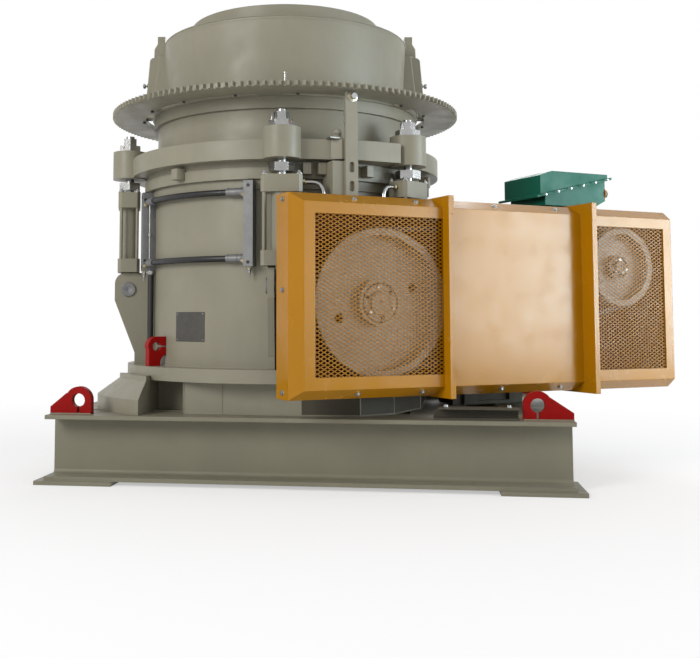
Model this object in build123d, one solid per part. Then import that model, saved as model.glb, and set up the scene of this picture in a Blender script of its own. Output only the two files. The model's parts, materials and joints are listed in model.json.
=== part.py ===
from build123d import *
from math import asin, atan2, cos, degrees, hypot, pi, radians, sin, sqrt
import os

# Cone crusher on a welded beam base, with its electric motor and belt guard.
# Origin on the crusher's axis at ground level, +X along the front beam to the motor,
# +Y to the back, +Z up. Millimetres.
# Crusher parts are drawn with the countershaft pointing to -Y, then turned to stand on the base.

drive_turn = 32.0            # degrees from the base's front to the countershaft
run_gap = 0.4                # between turning or sliding faces
seat_gap = 0.3               # between a part and the bore or seat that holds it
gasket = 0.5                 # between castings that are only clamped together

# Base frame
pad_thickness = 20.0
pad_length = 395.0
pad_overhang = 45.0
pad_side = 20.0
beam_height = 320.0
beam_width = 300.0
beam_flange = 20.0
beam_web = 12.0
beam_root = 18.0
base_left = -1082.0
base_right = 1491.0
base_half_depth = 900.0
cross_beam_places = (-932.0, -470.0, 470.0, 870.0, 1341.0)
lug_thickness = 40.0
lug_radius = 68.0
lug_hole = 34.0
lug_head_height = 69.0
lug_toe = 62.0
lug_toe_rise = 36.0
lug_shoulder = 36.0
lug_slot = 12.0
left_lug_inset = 146.0
right_lug_inset = 166.0
lug_setback = 95.0
rail_start = 835.0           # low bolted channel on the front beam, before the motor stand
rail_end = 1236.0
rail_setback = 32.0          # behind the edge of the front beam
channel_width = 80.0
channel_height = 58.0
channel_wall = 9.0
channel_chamfer = 24.0

# Skirt between base and crusher
skirt_step = -242.0          # steps are measured out from the shell's radius
skirt_turn = -5.0
skirt_wall = 16.0
skirt_height = 162.0

# Main frame
shell_radius = 770.0
shell_wall = 70.0
shell_height = 1079.0
shell_taper = 100.0          # the bore widens to the seat over this height
flange_step = 122.0
flange_thickness = 68.0
discharge_step = -320.0
band_step = 11.0
band_height = 50.0
seat_flange_step = 37.0
seat_flange_height = 61.0
seat_bore_step = -22.0
hub_radius = 240.0
hub_height = 870.0
arm_count = 3
arm_width = 90.0
arm_height = 150.0
foot_step = 168.0            # the feet's steps are measured out from the flange
foot_lip_step = 56.0
foot_lip_height = 24.0
foot_toe = 75.0
foot_left = -975.0
foot_right = -614.0
foot_inner = 430.0
foot_start_step = -292.0
frame_lug_thickness = 45.0
frame_lug_width = 150.0
frame_lug_height = 164.0
frame_lug_angle = -80.5
frame_lug_hole = 28.0
frame_lug_notch = 26.0

# Tramp release cylinders
cylinder_angles = (-158.2, -105.4, -25.0, 21.8, 102.2, 155.0)
cylinder_step = 123.0
head_width = 205.0
head_chamfer = 17.0
head_depth = 122.0
top_head_height = 87.0
bottom_head_height = 75.0
barrel_radius = 52.0
barrel_length = 285.0
tie_rod_radius = 9.0
tie_rod_inset = 17.0
pin_drop = 96.0
pin_radius = 27.0
eye_radius = 56.0
eye_width = 62.0
eye_neck = 84.0
pin_end = 8.0
cheek_thickness = 34.0
cheek_gap = 3.0
cheek_top_step = 75.0
cheek_bottom_step = -37.0
cheek_round = 60.0
rod_radius = 24.0
rod_immersion = 190.0
rod_bottom_gap = 20.0
rod_nut_flats = 114.0
rod_nut_gap = 20.0
rod_nut_height = 44.0
rod_show = 16.0
cap_nut_height = 36.0
hex_flats = 70.0
hex_height = 42.0
stud_height = 14.0

# Adjustment ring, bowl and hopper
ring_step = 110.0            # steps from the shell's radius again
ring_height = 101.0
ring_lift_gap = 27.0
ring_seat_step = 30.0
ring_bore_step = -35.0
pad_left = -138.0            # flat pad on the ring beside the slotted bracket
pad_corner = -97.0
pad_right = 240.0
pad_step = 32.0
boss_radius = 94.0
boss_height = 156.0
boss_drop = 5.0
bowl_height = 181.0
bowl_thread_depth = 118.0
bowl_wall = 96.0
bowl_lead = 24.0
bowl_flange_step = 22.0
bowl_flange_height = 62.0
gear_step = 223.0
tooth_height = 20.0
gear_teeth = 156
gear_thickness = 26.0
gear_window_gap = 10.0
gear_window = 39.0
gear_spoke_width = 120.0
gear_spokes = 6
gear_lap = 60.0              # how far the gear reaches in under the hopper
tooth_foot = 0.30            # half a tooth's width at its foot and tip, as shares of the pitch
tooth_tip = 0.13
cap_bottom_step = -90.0
cap_top_step = -68.0
cap_height = 407.0
cap_wall = 14.0
cap_mouth_step = -225.0
rim_height = 112.0
rim_wall = 12.0
hanger_angle = 66.0
hanger_width = 96.0
hanger_foot = 118.0          # how far the hanger stands out from the cap, at its foot and head
hanger_head = 78.0
hanger_height = 370.0
hanger_chamfer = 26.0
strap_width = 62.0
strap_depth = 44.0
strap_rise = 80.0

# Crushing chamber
liner_top_step = -250.0
liner_mouth_step = -300.0
liner_bottom_step = -180.0
liner_drop = 150.0
liner_wall = 40.0
liner_band = 160.0
liner_shoulder = 60.0
liner_lead = 60.0
mantle_step = -235.0
mantle_top_radius = 150.0
mantle_height = 400.0
mantle_skirt = 60.0
mantle_undercut = 40.0
feed_plate_radius = 190.0
feed_plate_height = 30.0

# Drive
shaft_height = 895.0
shaft_radius = 45.0
shaft_inner_end = 420.0
housing_radius = 165.0
housing_inner_end = 330.0
housing_flange_radius = 225.0
housing_flange_width = 40.0
housing_step = 62.0          # measured out from the frame's flange
sheave_radius = 354.0
sheave_width = 150.0
sheave_gap = 31.0            # behind the wheel, to the housing
sheave_rim = 34.0
sheave_web = 34.0
sheave_hub_radius = 112.0
sheave_hub_front = 20.0
sheave_hub_back = 10.0
sheave_hole_circle = 215.0
sheave_hole = 24.0
sheave_hole_angles = (160, 340)
motor_sheave_radius = 210.0
motor_sheave_hub_radius = 64.0
motor_sheave_web_front = 60.0
motor_sheave_web_back = 40.0
groove_count = 5
groove_pitch = 27.0
groove_top = 21.0
groove_bottom = 12.0
groove_depth = 18.0
belt_back = 6.0
belt_gap = 0.6
belt_clearance = 5.0         # left open at the bottom of each groove
belt_overlap = 1.0
motor_offset = 1472.0
motor_rise = 200.0

# Motor
motor_radius = 290.0
motor_length = 820.0
motor_gap = 95.0             # between the motor's front and the guard's back
motor_shaft_radius = 40.0
motor_shaft_depth = 118.0
motor_bore_end = 2.0
motor_nose_radius = 150.0
motor_nose = 50.0
motor_collar_width = 40.0
motor_collar_inset = 8.0
motor_foot_height = 315.0
motor_foot_width = 508.0
motor_foot_length = 520.0
motor_foot_plate = 30.0
motor_foot_setback = 90.0
motor_foot_pad = 130.0
motor_leg_inset = 30.0
motor_leg_place = 60.0
motor_leg_depth = 80.0
motor_leg_top = 144.1
fin_count = 40
fin_depth = 28.0
fin_thickness = 7.0
fin_setback = 60.0
fin_root = 6.0
cowl_length = 170.0
terminal_rise = 73.0
terminal_setback = 92.0      # setbacks are measured from the motor's front
terminal_length = 330.0
terminal_height = 196.0
terminal_left = -202.0
terminal_right = 231.0
terminal_chamfer = 42.0
lid_left = -240.0
lid_right = 245.0
lid_slope = 28.0
lid_slope_run = 84.0
seam_left = 52.0             # height of the slanting seam over the box's floor
seam_right = 168.0
seam_thickness = 14.0
seam_lip = 26.0
neck_half = 120.0
neck_inset = 60.0
stand_step = -47.0           # from the flange's radius to the stand's first post
stand_wing = 77.0
stand_right = 1740.0
stand_post_right = 1240.0
stand_setback = 300.0
stand_leg_depth = 260.0
stand_depth = 610.0
stand_top_setback = 45.0
stand_post = 90.0
stand_plate = 25.0
stand_panel = 12.0
stand_web = 20.0
stand_web_lap = 10.0
stand_web_drop = 60.0
rail_length = 600.0
rail_inset = 65.0
rail_height = 60.0
rail_width = 90.0

# Belt guard
guard_left = -469.0
guard_right = 1818.0
guard_bottom = 447.0
guard_top = 1405.0
guard_seat = 1.0             # between the housing's flange and the guard's back
guard_side = 133.0
guard_bevel_depth = 90.0
guard_bevel = 39.0
guard_rise_bevel = 48.0
guard_sheet = 6.0
shaft_hole_gap = 20.0
nose_hole_gap = 30.0
window_bottom = 553.0
window_top = 1303.0
left_window = (-374.0, 317.0)
right_window = (1268.0, 1724.0)
mesh_thickness = 4.0
mesh_lap = 22.0
rib_places = (317.0, 1161.0)
rib_reaches = (47.0, 86.0)
rib_thickness = 14.0
rib_overhang = 8.0
rib_end_thickness = 30.0
rib_end_height = 90.0

# Hydraulics and the slotted bracket
manifold_angle = -36.7
manifold_width = 50.0
manifold_depth = 70.0
manifold_lap = 6.0
manifold_drop = 71.0         # drops are measured down from the top of the frame
manifold_height = 432.0
side_manifold_angle = -93.5
hose_radius = 16.0
upper_hose_drop = 126.0
lower_hose_drop = 461.0
hose_clearance = 12.0
bracket_angle = -3.4
bracket_width = 67.0
bracket_thickness = 16.0
bracket_rise = 360.0
bracket_drop = 181.0
bracket_gap = 45.0
bracket_slot_width = 26.0
bracket_slot_length = 52.0
slot_heights = (70.0, 165.0)
block_left = -97.0
block_right = 33.0
block_clearance = 12.0

# Levels and radii worked out from the sizes above
base_top = pad_thickness + beam_height
rail_front = base_half_depth - rail_setback
frame_bottom = base_top + skirt_height
flange_top = frame_bottom + flange_thickness
frame_top = frame_bottom + shell_height
ring_bottom = frame_top + ring_lift_gap
ring_top = ring_bottom + ring_height
bowl_top = ring_top + bowl_height
gear_bottom = bowl_top + bowl_flange_height
gear_top = gear_bottom + gear_thickness
cap_top = gear_top + cap_height
cylinder_top = ring_bottom - boss_drop - rod_nut_gap - rod_nut_height - rod_show
barrel_top = cylinder_top - top_head_height
barrel_bottom = barrel_top - barrel_length
cylinder_bottom = barrel_bottom - bottom_head_height
pin_height = cylinder_bottom - pin_drop
motor_height = shaft_height + motor_rise
inside = shell_radius - shell_wall
skirt_inradius = shell_radius + skirt_step
discharge_radius = shell_radius + discharge_step
flange_radius = shell_radius + flange_step
foot_start = flange_radius + foot_start_step
band_radius = shell_radius + band_step
seat_flange_radius = shell_radius + seat_flange_step
ring_radius = shell_radius + ring_step
ring_bore = shell_radius + ring_bore_step
ring_seat_radius = shell_radius + ring_seat_step
cylinder_circle = shell_radius + cylinder_step
bowl_radius = ring_bore - run_gap
bowl_flange_radius = ring_bore + bowl_flange_step
gear_radius = shell_radius + gear_step
gear_root = gear_radius - tooth_height
cap_bottom_radius = shell_radius + cap_bottom_step
cap_top_radius = shell_radius + cap_top_step
cap_top_inner = shell_radius + cap_mouth_step
liner_top_radius = shell_radius + liner_top_step
liner_mouth_radius = shell_radius + liner_mouth_step
liner_bottom_radius = shell_radius + liner_bottom_step
mantle_radius = shell_radius + mantle_step
bracket_radius = ring_radius + bracket_gap
housing_reach = flange_radius + housing_step
sheave_front = housing_reach + sheave_gap + sheave_width
guard_back = housing_reach + guard_seat
guard_edge = guard_back + guard_side
guard_face = guard_edge + guard_bevel_depth
motor_front = guard_back - motor_gap
terminal_front = motor_front - terminal_setback
stand_front = motor_front - stand_setback
stand_top_front = motor_front - stand_top_setback
stand_left = flange_radius + stand_step
foot_middle = motor_front - motor_foot_setback - motor_foot_length / 2


def polar(angle, radius, height=0.0):
    return (radius * sin(radians(angle)), -radius * cos(radians(angle)), height)


def ring_solid(points):
    """Solid of revolution about the vertical axis, from radius and height pairs."""
    outline = make_face(Polyline(*points, close=True))
    return revolve(Plane.XZ * outline, Axis.Z)


def tube(outer, inner, bottom, top):
    return Pos(0, 0, bottom) * extrude(Circle(outer) - Circle(inner), top - bottom)


def rod(radius, bottom, top):
    return Pos(0, 0, bottom) * extrude(Circle(radius), top - bottom)


def box(x0, x1, y0, y1, z0, z1):
    return Pos((x0 + x1) / 2, (y0 + y1) / 2, (z0 + z1) / 2) * Box(x1 - x0, y1 - y0, z1 - z0)


def shaft_along_drive(radius, start, end, height, across=0.0):
    """Round bar that lies along the countershaft's direction, from start to end."""
    bar = extrude(Circle(radius), end - start)
    return Pos(across, -start, height) * Rot(90, 0, 0) * bar


def turned(shape):
    return Rot(0, 0, drive_turn) * shape


def save(name, shape):
    os.makedirs("parts", exist_ok=True)
    shape.label = name
    export_step(shape, "parts/" + name + ".step")


# Base

def h_section():
    """Section of a wide flange beam, standing on its lower flange."""
    side = (beam_width - beam_web) / 2
    pocket = Rectangle(side + beam_web / 2, beam_height - 2 * beam_flange)
    pocket = Pos((beam_web + side + beam_web / 2) / 2, 0) * pocket
    inner = [v for v in pocket.vertices() if abs(v.X - beam_web / 2) < 1]
    pocket = fillet(inner, beam_root)
    whole = Rectangle(beam_width, beam_height) - pocket - mirror(pocket, Plane.YZ)
    return Pos(0, pad_thickness + beam_height / 2) * whole


def long_beam(front):
    """One long beam with a foot plate under each end. front is -1 or 1."""
    y = front * (base_half_depth - beam_width / 2)
    length = base_right - base_left
    beam = Pos(base_left, y, 0) * extrude(Plane.YZ * h_section(), length)
    half = beam_width / 2 + pad_side
    for outer, inner in ((base_left - pad_overhang, 1), (base_right + pad_overhang, -1)):
        ends = sorted((outer, outer + inner * pad_length))
        beam += box(ends[0], ends[1], y - half, y + half, 0, pad_thickness)
    return beam


def cross_beam(x):
    """Short beam between the long beams, coped to meet their webs."""
    reach = base_half_depth - beam_width / 2 - beam_web / 2
    clear = base_half_depth - beam_width
    beam = Pos(x, 0, 0) * extrude(Plane.XZ * h_section(), reach, both=True)
    low = pad_thickness + beam_flange
    high = base_top - beam_flange
    for side in (-1, 1):
        ends = sorted((side * clear, side * (reach + 1)))
        beam -= box(x - beam_width, x + beam_width, ends[0], ends[1], high - beam_root, base_top + 1)
        beam -= box(x - beam_width, x + beam_width, ends[0], ends[1], 0, low + beam_root)
    return beam


def lifting_lug(side, front):
    """Upright plate with a slotted eye, welded on a corner of the base."""
    end = base_right if side > 0 else base_left
    inset = right_lug_inset if side > 0 else left_lug_inset
    x = end - side * inset
    y = front * (base_half_depth - lug_setback)
    head = base_top + lug_head_height
    outline = Polyline((lug_radius, base_top), (-inset, base_top), (-inset, base_top + lug_toe_rise),
                       (-lug_toe, head + lug_shoulder), (lug_radius, head), close=True)
    plate = make_face(outline) + Pos(0, head) * Circle(lug_radius)
    plate -= Pos(0, head) * Circle(lug_hole)
    plate -= Pos(0, (base_top + head) / 2) * Rectangle(lug_slot, head - base_top - lug_slot)
    solid = extrude(Plane.XZ * plate, lug_thickness / 2, both=True)
    if side > 0:
        solid = mirror(solid, Plane.YZ)
    return Pos(x, y, 0) * solid


def base_rail():
    """Low channel, open to the front, bolted on the front beam before the motor stand."""
    back = -rail_front + channel_width
    top = base_top + channel_height
    rail = box(rail_start, rail_end, -rail_front, back, base_top, top)
    rail -= box(rail_start - 1, rail_end + 1, -rail_front - 1, back - channel_wall,
                base_top + channel_wall, top - channel_wall)
    corner = make_face(Polyline((rail_start - 1, top + 1), (rail_start + channel_chamfer, top + 1),
                                (rail_start - 1, base_top + channel_wall), close=True))
    return rail - extrude(Plane.XZ * corner, base_half_depth, both=True)


# Crusher frame

def skirt():
    """Eight sided welded skirt that carries the crusher on the cross beams."""
    corner = skirt_inradius / cos(pi / 8)
    outer = RegularPolygon(corner, 8)
    inner = RegularPolygon((skirt_inradius - skirt_wall) / cos(pi / 8), 8)
    wall = extrude(Rot(0, 0, 22.5 + skirt_turn) * (outer - inner), skirt_height - seat_gap)
    return Pos(0, 0, base_top) * wall


def clevis(angle):
    """Two cheeks cast on the shell that hold the pin of one cylinder."""
    top = cylinder_bottom - cheek_gap
    reach = cylinder_circle + cheek_top_step
    foot = cylinder_circle + cheek_bottom_step
    root = shell_radius - shell_wall / 2
    outline = Polyline((root, flange_top), (foot, flange_top), (foot, flange_top + cheek_round),
                       (reach, pin_height - cheek_round), (reach, top), (root, top), close=True)
    face = make_face(outline)
    crown = [v for v in face.vertices() if abs(v.X - reach) < 1 and abs(v.Y - top) < 1]
    face = fillet(crown, cheek_round)
    face -= Pos(cylinder_circle, pin_height) * Circle(pin_radius + seat_gap)
    inner = eye_width / 2 + cheek_gap
    cheek = extrude(Plane.XZ * face, cheek_thickness)
    cheek = Pos(0, -inner, 0) * cheek
    pair = cheek + mirror(cheek, Plane.XZ)
    return Rot(0, 0, angle - 90) * pair


def main_frame():
    """Shell of the bottom casting, with its band, the ring's seat and the pin cheeks."""
    band_bottom = frame_top - seat_flange_height - band_height
    seat_bottom = frame_top - seat_flange_height
    frame = ring_solid([(inside, flange_top), (shell_radius, flange_top), (shell_radius, band_bottom),
                        (band_radius, band_bottom), (band_radius, seat_bottom),
                        (seat_flange_radius, seat_bottom), (seat_flange_radius, frame_top),
                        (shell_radius + seat_bore_step, frame_top), (inside, frame_top - shell_taper)])
    for angle in cylinder_angles:
        frame += clevis(angle)
    return frame - shaft_along_drive(housing_radius + seat_gap, housing_inner_end, shell_radius + shell_wall,
                                     shaft_height)


def frame_flange():
    """Bottom flange of the casting, with the discharge opening in its middle."""
    return tube(flange_radius, discharge_radius, frame_bottom, flange_top)


def frame_hub():
    """Hub that carries the mantle, on arms that rest on the flange inside the shell."""
    hub = rod(hub_radius, frame_bottom, frame_bottom + hub_height)
    low = flange_top + seat_gap
    for i in range(arm_count):
        arm = box(-arm_width / 2, arm_width / 2, 0, inside, low, low + arm_height)
        hub += Rot(0, 0, i * 360 / arm_count) * arm
    return hub & rod(inside - seat_gap, frame_bottom, frame_top)


def frame_foot(side):
    """Foot under the flange, with a lip outside it. side is -1 for the front foot, 1 for the back."""
    reach = flange_radius + foot_step
    lip = flange_radius + foot_lip_step
    under = frame_bottom - seat_gap
    lip_top = frame_bottom + foot_lip_height
    side_of_flange = flange_radius + seat_gap
    ring = ring_solid([(foot_start, base_top), (reach, base_top), (reach, base_top + foot_toe),
                       (lip, under), (lip, lip_top), (side_of_flange, lip_top),
                       (side_of_flange, under), (foot_start, under)])
    foot = ring & box(foot_left, foot_right, -reach, -foot_inner, base_top - 1, lip_top + 1)
    return foot if side < 0 else Rot(0, 0, 180) * foot


def frame_lug(angle):
    """Lifting lug that stands on the frame's flange against the shell."""
    half = frame_lug_width / 2
    top = flange_top + frame_lug_height
    outline = make_face(Polyline((0, flange_top), (frame_lug_width, flange_top),
                                 (frame_lug_width, top - half), (frame_lug_width - half, top),
                                 (0, top), close=True))
    outline -= Pos(half, top - half) * Circle(frame_lug_hole)
    outline -= Pos(0, flange_top) * Circle(frame_lug_notch)
    lug = extrude(Plane.XZ * outline, frame_lug_thickness / 2, both=True)
    lug = Pos(shell_radius, 0, 0) * lug - rod(shell_radius + seat_gap, 0, frame_top)
    return Rot(0, 0, angle - 90) * lug


# Tramp release cylinders

def cylinder(angle):
    """Cylinder with square heads, four tie rods, and an eye on its pin."""
    head = Rectangle(head_width, head_depth)
    head = chamfer(head.vertices(), head_chamfer)
    body = Pos(0, 0, barrel_top) * extrude(head, top_head_height)
    body += Pos(0, 0, cylinder_bottom) * extrude(head, bottom_head_height)
    body += rod(barrel_radius, barrel_bottom, barrel_top)
    for x in (-1, 1):
        for y in (-1, 1):
            place = Pos(x * (head_width / 2 - tie_rod_inset), y * (head_depth / 2 - tie_rod_inset), 0)
            body += place * rod(tie_rod_radius, barrel_bottom, barrel_top)
    eye = Pos(0, pin_height) * Circle(eye_radius)
    neck = Pos(0, (pin_height + cylinder_bottom) / 2) * Rectangle(eye_neck, pin_drop)
    body += extrude(Plane.YZ * (eye + neck), eye_width / 2, both=True)
    pin_half = eye_width / 2 + cheek_gap + cheek_thickness + pin_end
    pin = extrude(Plane.YZ * (Pos(0, pin_height) * Circle(pin_radius)), pin_half, both=True)
    body += pin
    body -= rod(rod_radius + run_gap, cylinder_top - rod_immersion - rod_bottom_gap, cylinder_top + 1)
    return Rot(0, 0, angle) * Pos(0, -cylinder_circle, 0) * body


def hexagon(flats, bottom, top):
    return Pos(0, 0, bottom) * extrude(RegularPolygon(flats / sqrt(3), 6), top - bottom)


def cylinder_rod(angle):
    """Rod with its nuts, clamped in a boss of the adjustment ring."""
    boss_bottom = ring_bottom - boss_drop
    boss_top = boss_bottom + boss_height
    nut_top = boss_bottom - rod_nut_gap
    cap_nut_top = boss_top + cap_nut_height
    hex_top = cap_nut_top + hex_height
    bar = rod(rod_radius, cylinder_top - rod_immersion, hex_top + stud_height)
    bar += hexagon(rod_nut_flats, nut_top - rod_nut_height, nut_top)
    bar += hexagon(rod_nut_flats, boss_top, cap_nut_top)
    bar += hexagon(hex_flats, cap_nut_top, hex_top)
    return Rot(0, 0, angle) * Pos(0, -cylinder_circle, 0) * bar


# Adjustment ring, bowl and hopper

def adjustment_ring():
    """Threaded ring on the frame's seat, with a boss at each cylinder."""
    ring = ring_solid([(ring_bore, frame_top + seat_gap), (ring_seat_radius, frame_top + seat_gap),
                       (ring_seat_radius, ring_bottom), (ring_radius, ring_bottom),
                       (ring_radius, ring_top), (ring_bore, ring_top)])
    boss_bottom = ring_bottom - boss_drop
    for angle in cylinder_angles:
        place = Pos(polar(angle, cylinder_circle))
        ring += place * rod(boss_radius, boss_bottom, boss_bottom + boss_height)
    face = -ring_radius - pad_step
    pad = make_face(Polyline((pad_left, -ring_bore), (pad_left, -ring_radius + boss_drop),
                             (pad_corner, face), (pad_right, face), (pad_right, -ring_bore), close=True))
    ring += Pos(0, 0, ring_bottom) * extrude(pad, ring_height)
    ring -= rod(ring_bore, ring_bottom - boss_drop - 1, ring_top + boss_height)
    for angle in cylinder_angles:
        place = Pos(polar(angle, cylinder_circle))
        ring -= place * rod(rod_radius, boss_bottom - 1, boss_bottom + boss_height + 1)
    return ring


def bowl():
    """Bowl screwed in the ring, with the flange that carries gear and hopper."""
    inner = bowl_radius - bowl_wall
    bottom = ring_top - bowl_thread_depth
    return ring_solid([(inner + bowl_lead, bottom), (bowl_radius, bottom), (bowl_radius, bowl_top),
                       (bowl_flange_radius, bowl_top), (bowl_flange_radius, gear_bottom),
                       (inner, gear_bottom)])


def ring_gear():
    """Toothed ring around the bowl, held to its flange by short arms."""
    step = 2 * pi / gear_teeth
    points = []
    for i in range(gear_teeth):
        for share, radius in ((-tooth_foot, gear_root), (-tooth_tip, gear_radius),
                              (tooth_tip, gear_radius), (tooth_foot, gear_root)):
            angle = (i + share) * step
            points.append((radius * cos(angle), radius * sin(angle)))
    plate = make_face(Polyline(*points, close=True)) - Circle(cap_top_radius - gear_lap)
    near = bowl_flange_radius + gear_window_gap
    far = near + gear_window
    spoke = degrees(gear_spoke_width / far)
    sweep = 360 / gear_spokes - spoke
    for i in range(gear_spokes):
        start = i * 360 / gear_spokes + spoke / 2
        first = CenterArc((0, 0), near, start, sweep)
        second = CenterArc((0, 0), far, start, sweep)
        plate -= make_face(first + Line(first @ 1, second @ 1) + second + Line(second @ 0, first @ 0))
    return Pos(0, 0, gear_bottom) * extrude(plate, gear_thickness)


def hopper_cap():
    """Flared drum on the gear, with a hanger and its strap on each side."""
    plate_bottom = cap_top - cap_wall
    drum = ring_solid([(cap_bottom_radius, gear_top), (cap_top_radius, plate_bottom),
                       (cap_top_radius - cap_wall, plate_bottom),
                       (cap_bottom_radius - cap_wall, gear_top)])
    root = cap_bottom_radius - cap_wall / 2
    side = make_face(Polyline((root, gear_top), (cap_bottom_radius + hanger_foot, gear_top),
                              (cap_bottom_radius + hanger_head, gear_top + hanger_height),
                              (root, gear_top + hanger_height), close=True))
    hanger = extrude(Plane.XZ * side, hanger_width / 2, both=True)
    slopes = [e for e in hanger.edges() if e.center().X > cap_bottom_radius + hanger_head / 2
              and abs(e.center().Y) > hanger_width / 2 - 1]
    slopes = [e for e in slopes if e.length > hanger_height - 1]
    hanger = chamfer(slopes, hanger_chamfer)
    hanger += box(cap_bottom_radius, cap_top_radius + strap_depth, -strap_width / 2, strap_width / 2,
                  gear_top + hanger_height / 2, cap_top + strap_rise)
    past_rim = cap_top_radius + seat_gap
    over = cap_top + strap_rise + 1
    inner = ring_solid([(0, gear_top - 1), (root, gear_top - 1),
                        (cap_top_radius - cap_wall / 2, plate_bottom), (past_rim, plate_bottom),
                        (past_rim, over), (0, over)])
    hanger -= inner
    for turn in (0, 180):
        drum += Rot(0, 0, hanger_angle - 90 + turn) * hanger
    return drum


def hopper_rim():
    """Flat top of the hopper with the collar round the feed opening."""
    plate_bottom = cap_top - cap_wall
    mouth = cap_top_inner - rim_wall
    rim_top = cap_top + rim_height
    return ring_solid([(mouth, plate_bottom), (cap_top_radius, plate_bottom), (cap_top_radius, cap_top),
                       (cap_top_inner, cap_top), (cap_top_inner, rim_top), (mouth, rim_top)])


def bowl_liner():
    """Wearing ring inside the bowl that hangs from the bowl's top."""
    top = gear_bottom
    bottom = ring_top - bowl_thread_depth - liner_drop
    seat = bowl_radius - bowl_wall - gasket
    return ring_solid([(liner_bottom_radius - liner_wall, bottom), (liner_bottom_radius, bottom),
                       (liner_bottom_radius, bottom + liner_band),
                       (seat, bottom + liner_drop + liner_shoulder), (seat, top),
                       (liner_top_radius, top), (liner_mouth_radius, top - liner_lead)])


def mantle():
    """Crushing cone on the hub, with its feed plate on top."""
    bottom = frame_bottom + hub_height + seat_gap
    cone = bottom + mantle_skirt
    top = cone + mantle_height
    under = mantle_radius - mantle_undercut
    return ring_solid([(0, bottom), (under, bottom), (under, cone - mantle_skirt / 2),
                       (mantle_radius, cone), (mantle_top_radius, top), (feed_plate_radius, top),
                       (feed_plate_radius, top + feed_plate_height), (0, top + feed_plate_height)])


# Drive

def countershaft_housing():
    """Housing of the countershaft, through the frame's wall, with its end flange."""
    body = shaft_along_drive(housing_radius, housing_inner_end, housing_reach, shaft_height)
    body += shaft_along_drive(housing_flange_radius, housing_reach - housing_flange_width,
                              housing_reach, shaft_height)
    return body - shaft_along_drive(shaft_radius + run_gap, housing_inner_end - 1, housing_reach + 1,
                                    shaft_height)


def countershaft():
    """Shaft from inside the frame to the large wheel's hub."""
    return shaft_along_drive(shaft_radius, shaft_inner_end, sheave_front - sheave_hub_front, shaft_height)


def grooved_rim(radius):
    """Points of a rim's outline, from the front face to the back, across its V grooves."""
    points = [(radius, 0.0)]
    first = (sheave_width - (groove_count - 1) * groove_pitch) / 2
    for i in range(groove_count):
        middle = first + i * groove_pitch
        points += [(radius, middle - groove_top / 2), (radius - groove_depth, middle - groove_bottom / 2),
                   (radius - groove_depth, middle + groove_bottom / 2), (radius, middle + groove_top / 2)]
    return points + [(radius, sheave_width)]


def along_drive(shape, height, across=0.0):
    """Lays a wheel that was drawn about the Z axis, front face down, on its shaft."""
    return Pos(across, -sheave_front, height) * Rot(-90, 0, 0) * shape


def crusher_sheave():
    """Large wheel: grooved rim, dished web with two holes, hub."""
    outline = grooved_rim(sheave_radius)
    middle = sheave_width / 2
    inner = sheave_radius - sheave_rim
    hub_back = sheave_width - sheave_hub_back
    outline += [(inner, sheave_width), (inner, middle + sheave_web / 2),
                (sheave_hub_radius, middle + sheave_web / 2), (sheave_hub_radius, hub_back),
                (shaft_radius, hub_back), (shaft_radius, sheave_hub_front),
                (sheave_hub_radius, sheave_hub_front), (sheave_hub_radius, middle - sheave_web / 2),
                (inner, middle - sheave_web / 2), (inner, 0)]
    wheel = ring_solid(outline)
    for angle in sheave_hole_angles:
        hole = Pos(sheave_hole_circle * cos(radians(angle)), sheave_hole_circle * sin(radians(angle)), 0)
        wheel -= hole * rod(sheave_hole, 0, sheave_width)
    return along_drive(wheel, shaft_height)


def motor_sheave():
    """Small wheel on the motor's shaft."""
    outline = grooved_rim(motor_sheave_radius)
    inner = motor_sheave_radius - sheave_rim
    web_back = sheave_width - motor_sheave_web_back
    outline += [(inner, sheave_width), (inner, web_back), (motor_shaft_radius, web_back),
                (motor_shaft_radius, sheave_hub_front), (motor_sheave_hub_radius, sheave_hub_front),
                (motor_sheave_hub_radius, motor_sheave_web_front), (inner, motor_sheave_web_front),
                (inner, 0)]
    return along_drive(ring_solid(outline), motor_height, motor_offset)


def belt_loop(big, small):
    """Closed outline of a belt round both wheels, in the plane of the wheels."""
    distance = hypot(motor_offset, motor_rise)
    lean = degrees(atan2(motor_rise, motor_offset))
    wrap = degrees(atan2(big - small, sqrt(distance ** 2 - (big - small) ** 2)))
    left = CenterArc((0, 0), big, 90 - wrap, 180 + 2 * wrap)
    right = CenterArc((distance, 0), small, wrap - 90, 180 - 2 * wrap)
    loop = make_face(left + Line(left @ 1, right @ 0) + right + Line(right @ 1, left @ 0))
    return Rot(0, 0, lean) * loop


def drive_belts():
    """Banded V belt: one flat back with a rib in each groove."""
    first = (sheave_width - (groove_count - 1) * groove_pitch) / 2
    rim = sheave_radius + belt_gap
    small_rim = motor_sheave_radius + belt_gap
    depth = groove_depth - belt_clearance
    half = (groove_count - 1) * groove_pitch / 2 + groove_top / 2
    back = belt_loop(rim + belt_back, small_rim + belt_back) - belt_loop(rim, small_rim)
    band = Pos(0, 0, sheave_width / 2 - half) * extrude(back, 2 * half)
    rib = belt_loop(rim + belt_overlap, small_rim + belt_overlap) - belt_loop(rim - depth, small_rim - depth)
    rib_width = groove_bottom - 2 * belt_gap
    for i in range(groove_count):
        band += Pos(0, 0, first + i * groove_pitch - rib_width / 2) * extrude(rib, rib_width)
    return Pos(0, -sheave_front, shaft_height) * Rot(-90, 0, 0) * mirror(band, Plane.XZ)


# Motor

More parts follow.
